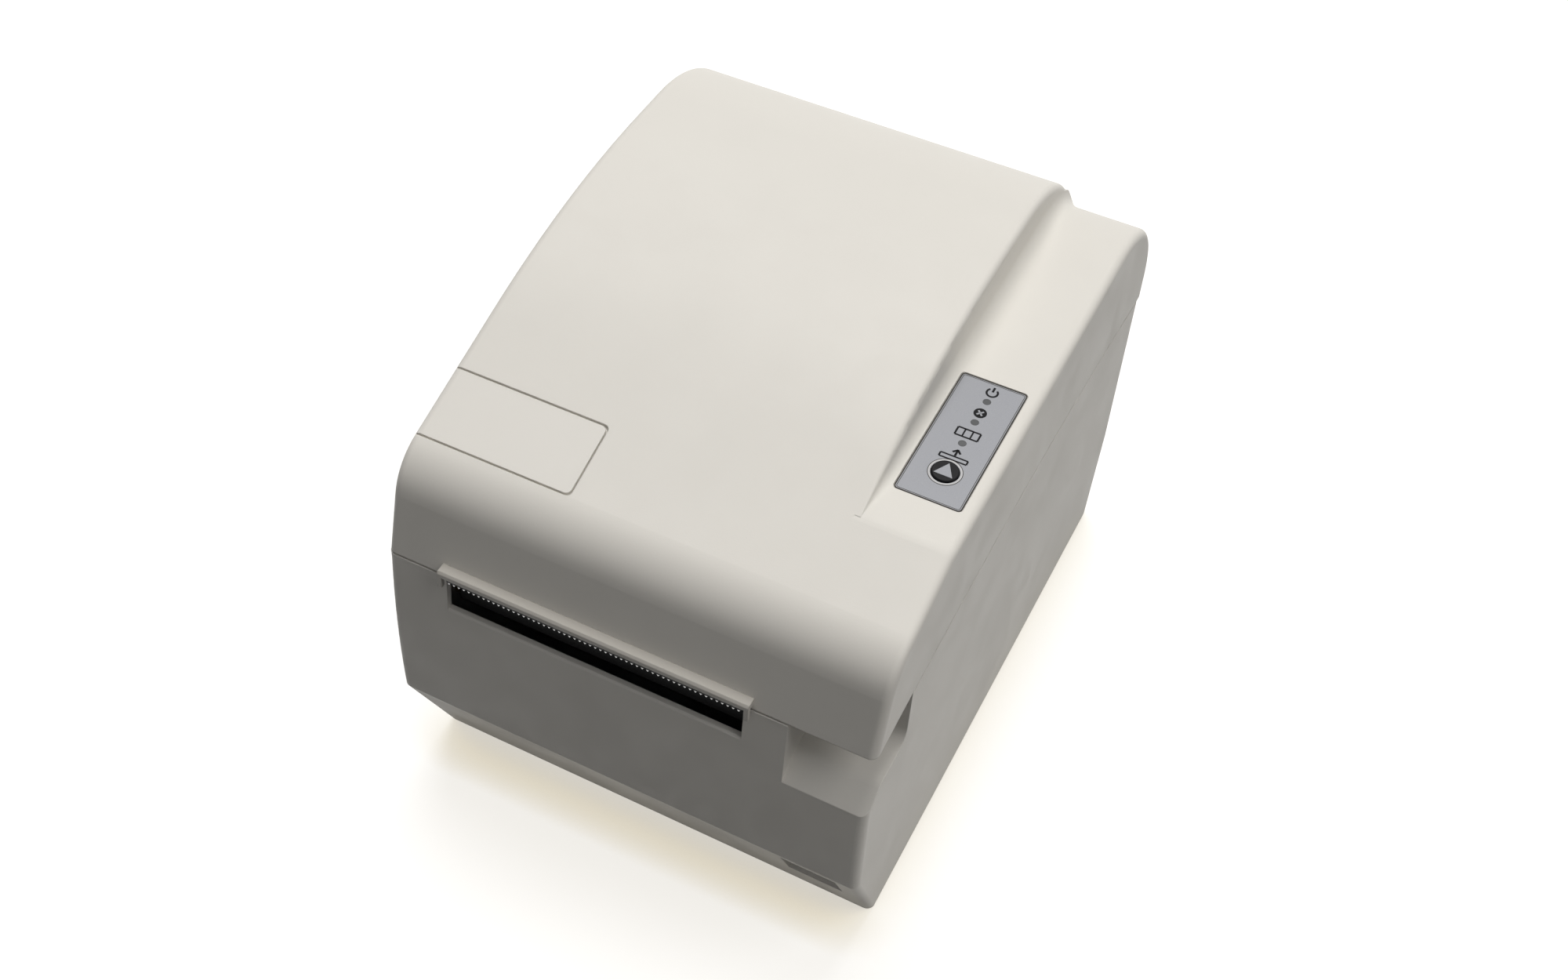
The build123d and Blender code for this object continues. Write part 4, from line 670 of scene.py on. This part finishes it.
# %% Key triangle, key ring and the line round the panel
KEY_TOP = 0.7
TRIANGLE_RADIUS, TRIANGLE_DROP = 3.7, 0.35
button_at = (BUTTON_X, along_of(KEY_DEPTH))
triangle = []
for turn in (90, 210, 330):
    reach_x = TRIANGLE_RADIUS * math.cos(math.radians(turn))
    reach_v = TRIANGLE_RADIUS * math.sin(math.radians(turn))
    triangle.append((button_at[0] + reach_x, button_at[1] - TRIANGLE_DROP + reach_v))
film("key_triangle", [triangle], silver, lift=KEY_TOP, body="button")
for name, outer, inner, finish in (
    ("key_ring", 5.5, 4.85, pale_ring),
    ("key_line", 5.75, 5.55, rim_ink),
):
    halves = [band(button_at, outer, inner, start, start + 180) for start in (0, 180)]
    film(name, halves, finish)


def rounded_frame(low_x, high_x, low_v, high_v, corner, width):
    """Strips that make a frame with round corners."""
    centres = [
        (high_x - corner, high_v - corner, 0),
        (low_x + corner, high_v - corner, 90),
        (low_x + corner, low_v + corner, 180),
        (high_x - corner, low_v + corner, 270),
    ]
    outer, inner = [], []
    for x, v, turn in centres:
        outer += arc((x, v), corner, turn, turn + 90, 6)
        inner += arc((x, v), corner - width, turn, turn + 90, 6)
    count = len(outer)
    after = [(index + 1) % count for index in range(count)]
    return [[outer[i], outer[after[i]], inner[after[i]], inner[i]] for i in range(count)]


panel_low = along_of(65.6)
rims = rounded_frame(60.9, 83.85, panel_low, panel_low + 57.1, 1.4, 0.38)
rims += rounded_frame(61.55, 83.2, panel_low + 0.65, panel_low + 56.45, 0.9, 0.18)
film("panel_rim", rims, rim_ink)

# %% [markdown]
# The solids show each screw as a plain round head. The real ones are pan-head screws with a
# cross recess, each stopped at its own angle. One Geometry Nodes tree makes a screw from its
# sizes, sets a copy on every point of a small cloud and turns each copy at random. The places
# are read from the solids, so the screws always sit in their own bores.

# %% Find the separate screws in a solid
def islands(name):
    """Lowest and highest corner of each separate piece of a solid."""
    work = bmesh.new()
    work.from_mesh(frame["nodes"][name].data)
    bmesh.ops.remove_doubles(work, verts=work.verts, dist=1e-6)
    waiting, boxes = set(work.verts), []
    while waiting:
        front = [waiting.pop()]
        group = []
        while front:
            vert = front.pop()
            group.append(vert.co.copy())
            near = {edge.other_vert(vert) for edge in vert.link_edges} & waiting
            waiting -= near
            front.extend(near)
        boxes.append((Vector(map(min, zip(*group))), Vector(map(max, zip(*group)))))
    work.free()
    return sorted(boxes, key=lambda box: tuple(round(value, 5) for value in box[0]))


print("deck screws", len(islands("bay_screws")))

# %% [markdown]
# Geometry trees share a few steps too: simple shapes, a move up, a union or a cut, and the last
# nodes, which copy a shape to the points. The result is then kept as a plain mesh.

# %% Helpers for Geometry Nodes
def new_tree(name, inputs):
    """Geometry tree with a mesh input and named inputs given as (name, kind, default)."""
    tree = bpy.data.node_groups.new(name, "GeometryNodeTree")
    tree.interface.new_socket("Geometry", in_out="INPUT", socket_type="NodeSocketGeometry")
    for label, kind, default in inputs:
        socket = tree.interface.new_socket(label, in_out="INPUT", socket_type=kind)
        if default is not None:
            socket.default_value = default
    tree.interface.new_socket("Geometry", in_out="OUTPUT", socket_type="NodeSocketGeometry")
    given, result = tree.nodes.new("NodeGroupInput"), tree.nodes.new("NodeGroupOutput")
    return tree, given.outputs, result


def vector_of(tree, values):
    """Vector with some of its parts given by name."""
    return add_node(tree, "ShaderNodeCombineXYZ", values).outputs[0]


def raised(tree, shape, height):
    """Shape moved up."""
    values = {"Geometry": shape, "Translation": vector_of(tree, {"Z": height})}
    return add_node(tree, "GeometryNodeTransform", values).outputs[0]


def cylinder(tree, radius, depth, sides):
    """Cylinder centred on the origin."""
    values = {"Vertices": sides, "Radius": radius, "Depth": depth}
    return add_node(tree, "GeometryNodeMeshCylinder", values).outputs["Mesh"]


def block(tree, x, y, z):
    """Box centred on the origin."""
    values = {"Size": vector_of(tree, {"X": x, "Y": y, "Z": z})}
    return add_node(tree, "GeometryNodeMeshCube", values).outputs["Mesh"]


def boolean(tree, operation, shapes, cutters):
    """Exact union of shapes, or a shape less its cutters."""
    settings = {"operation": operation, "solver": "EXACT"}
    node = add_node(tree, "GeometryNodeMeshBoolean", {}, **settings)
    for label, meshes in (("Mesh 1", shapes), ("Mesh 2", cutters)):
        for mesh in meshes:
            tree.links.new(mesh, node.inputs[label])
    return node.outputs["Mesh"]


def copies(tree, given, result, shape, turned=True):
    """Copies of a shape on the input points, leaning one way and turned at random."""
    values = {"Points": given["Geometry"], "Instance": shape, "Rotation": given["Lean"]}
    last = add_node(tree, "GeometryNodeInstanceOnPoints", values).outputs["Instances"]
    if turned:
        values = {"Min": 0.0, "Max": math.pi / 2, "Seed": given["Seed"]}
        chance = add_node(tree, "FunctionNodeRandomValue", {}, data_type="FLOAT")
        fill(tree, chance, values)
        angle = vector_of(tree, {"Z": chance.outputs["Value"]})
        values = {"Instances": last, "Rotation": angle}
        last = add_node(tree, "GeometryNodeRotateInstances", values).outputs["Instances"]
    real = add_node(tree, "GeometryNodeRealizeInstances", {0: last})
    values = {"Geometry": real.outputs[0], "Material": given["Finish"]}
    finish = add_node(tree, "GeometryNodeSetMaterial", values)
    tree.links.new(finish.outputs[0], result.inputs[0])


def grown(name, tree, points, values, body, finish, stands_for=()):
    """Run a tree on points in metres and keep the result as a plain piece."""
    seed_mesh = bpy.data.meshes.new(name)
    seed_mesh.from_pydata([tuple(point) for point in points], [], [])
    holder = bpy.data.objects.new(name + ".points", seed_mesh)
    bpy.context.scene.collection.objects.link(holder)
    grower = holder.modifiers.new("grow", "NODES")
    grower.node_group = tree
    items = tree.interface.items_tree
    sockets = {item.name: item.identifier for item in items if item.in_out == "INPUT"}
    for label, value in {**values, "Finish": finish}.items():
        grower[sockets[label]] = value
    view_layer = bpy.context.evaluated_depsgraph_get()
    mesh = bpy.data.meshes.new_from_object(holder.evaluated_get(view_layer))
    bpy.data.objects.remove(holder)
    mesh.name = name
    mesh.shade_smooth()
    mesh.set_sharp_from_angle(angle=math.radians(32))
    return add_piece(name, mesh, finish, body, stands_for)


print("helpers ready")

# %% [markdown]
# The screw itself is a union of a shank, a short rim and a cone-shaped crown. Two crossed blocks
# cut its recess. Every size is a named input of the tree.

# %% Pan-head screw tree
CROWN_TAPER, OVERLAP = 0.72, 0.2 * MM
screw_tree, size, result = new_tree(
    "pan_head_screws",
    [
        ("Head Radius", "NodeSocketFloat", 2.8 * MM),
        ("Head Height", "NodeSocketFloat", 1.8 * MM),
        ("Shank Radius", "NodeSocketFloat", 1.5 * MM),
        ("Shank Length", "NodeSocketFloat", 8 * MM),
        ("Recess Width", "NodeSocketFloat", 0.7 * MM),
        ("Recess Length", "NodeSocketFloat", 3.1 * MM),
        ("Lean", "NodeSocketVector", (0, 0, 0)),
        ("Seed", "NodeSocketInt", 1),
        ("Finish", "NodeSocketMaterial", None),
    ],
)
head_radius, head_height = size["Head Radius"], size["Head Height"]
rim_height = math_node(screw_tree, "MULTIPLY", head_height, 0.5)
rim_middle = math_node(screw_tree, "MULTIPLY", head_height, 0.25)
rim = raised(screw_tree, cylinder(screw_tree, head_radius, rim_height, 32), rim_middle)
cone = {
    "Vertices": 32,
    "Radius Bottom": head_radius,
    "Radius Top": math_node(screw_tree, "MULTIPLY", head_radius, CROWN_TAPER),
    "Depth": rim_height,
}
crown = add_node(screw_tree, "GeometryNodeMeshCone", cone).outputs["Mesh"]
shank_length = math_node(screw_tree, "ADD", size["Shank Length"], OVERLAP)
half_down = math_node(screw_tree, "MULTIPLY", shank_length, -0.5)
shank = raised(
    screw_tree,
    cylinder(screw_tree, size["Shank Radius"], shank_length, 20),
    math_node(screw_tree, "ADD", half_down, OVERLAP),
)
solid = boolean(screw_tree, "UNION", (), (rim, raised(screw_tree, crown, rim_height), shank))
width, length = size["Recess Width"], size["Recess Length"]
bars = [
    raised(screw_tree, block(screw_tree, *sides, head_height), head_height)
    for sides in ((width, length), (length, width))
]
copies(screw_tree, size, result, boolean(screw_tree, "DIFFERENCE", (solid,), bars))
print("screw tree has", len(screw_tree.nodes), "nodes")

# %% [markdown]
# Each set of screws replaces the plain set on the same body. Most heads look up. Those of the
# case, the frame and the carrier look down, and those of the motor look to the right.

# %% Screws in place of the plain ones
SCREW_SETS = "case_screws bay_screws frame_screws board_screws carrier_screws motor_screws"
POINTS_UP = {"case_screws", "frame_screws", "carrier_screws"}
HEAD_HEIGHT, MOTOR_HEAD_HEIGHT = 1.8 * MM, 1.2 * MM
members_of = frame["record"]["behaviour"]["bodies"]
for seed, name in enumerate(SCREW_SETS.split(), start=3):
    height = MOTOR_HEAD_HEIGHT if name == "motor_screws" else HEAD_HEIGHT
    places = []
    for low, high in islands(name):
        middle = (low + high) / 2
        if name == "motor_screws":
            lean, length = (0, math.pi / 2, 0), high.x - low.x - height
            places.append((high.x - height, middle.y, middle.z))
        elif name in POINTS_UP:
            lean, length = (math.pi, 0, 0), high.z - low.z - height
            places.append((middle.x, middle.y, low.z + height))
        else:
            lean, length = (0, 0, 0), high.z - low.z - height
            places.append((middle.x, middle.y, high.z - height))
    values = {"Head Height": height, "Shank Length": length, "Lean": lean, "Seed": seed}
    body = next(body for body, members in members_of.items() if name in members)
    grown(name + "_pan", screw_tree, places, values, body, steel, (name,))

# %% [markdown]
# Low ribs on the deck keep the labels from sticking to it. Each is a short rod with round ends,
# sunk to half its thickness, and the tree sets one on every point of a row.

# %% Ribs on the deck
DECK_Z, RIB_DEPTH, RIB_STEP, MIDDLE_X = 112.5, 53.5, 8.0, -11
RIB_RADIUS, RIB_LENGTH = 0.8 * MM, 5.4 * MM
rib_tree, size, result = new_tree(
    "deck_ribs",
    [
        ("Rib Radius", "NodeSocketFloat", RIB_RADIUS),
        ("Rib Length", "NodeSocketFloat", RIB_LENGTH),
        ("Lean", "NodeSocketVector", (math.pi / 2, 0, 0)),
        ("Finish", "NodeSocketMaterial", None),
    ],
)
rod = cylinder(rib_tree, size["Rib Radius"], size["Rib Length"], 16)
half_up = math_node(rib_tree, "MULTIPLY", size["Rib Length"], 0.5)
half_down = math_node(rib_tree, "MULTIPLY", half_up, -1)
sphere = {"Segments": 16, "Rings": 8, "Radius": size["Rib Radius"]}
ball = add_node(rib_tree, "GeometryNodeMeshUVSphere", sphere).outputs["Mesh"]
ends = [raised(rib_tree, ball, height) for height in (half_up, half_down)]
copies(rib_tree, size, result, boolean(rib_tree, "UNION", (), (rod, *ends)), turned=False)
row = [place(MIDDLE_X + RIB_STEP * step, RIB_DEPTH, DECK_Z) for step in range(-6, 7)]
values = {"Rib Radius": RIB_RADIUS, "Rib Length": RIB_LENGTH}
grown("deck_ribs", rib_tree, row, values, "base", charcoal)

# %% [markdown]
# A power switch has a bar for on and a ring for off. Each mark is dropped on the face of the
# rocker with a ray from behind, so it follows the face, and it moves with the rocker.

# %% Marks on the rocker
MARK_PROUD, MARK_THICK = 0.00006, 0.0002


def dropped(name, outlines, node_name, finish, body):
    """Thin marks on the rear of a solid from outlines given as (x, z) in metres."""
    target, points, faces = frame["nodes"][node_name], [], []
    for outline in outlines:
        faces += plate_faces(len(points), len(outline))
        outer = []
        for x, z in outline:
            hit, spot, _, _ = target.ray_cast(Vector((x, 1.0, z)), Vector((0, -1, 0)))
            outer.append(Vector((x, spot.y + MARK_PROUD, z)) if hit else Vector((x, 0, z)))
        points += outer + [point - Vector((0, MARK_THICK, 0)) for point in outer]
    return add_piece(name, mesh_from(name, points, faces), finish, body)


low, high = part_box("power_rocker")
middle = (low + high) / 2
reach = (high.z - low.z) * 0.27
bar_x, bar_z = 0.25 * MM, 1.4 * MM
ring_out, ring_in = 1.6 * MM, 1.15 * MM
bar_corners = ((-bar_x, -bar_z), (bar_x, -bar_z), (bar_x, bar_z), (-bar_x, bar_z))
on_mark = [(middle.x + x, middle.z + reach + z) for x, z in bar_corners]
ring_at = (middle.x, middle.z - reach)
off_marks = [band(ring_at, ring_out, ring_in, start, start + 90, 8) for start in (0, 90, 180, 270)]
dropped("rocker_marks", [on_mark, *off_marks], "power_rocker", pale_ring, "rocker")

# %% [markdown]
# The two springs over the print head shorten as it lifts against them. A copy of the coils
# rides on the lid in place of the plain solid.

# %% Springs on the lid
coil_mesh = frame["nodes"]["head_springs"].data.copy()
coils = add_piece("head_spring_coils", coil_mesh, steel, "cover", ("head_springs",))
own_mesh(coils)
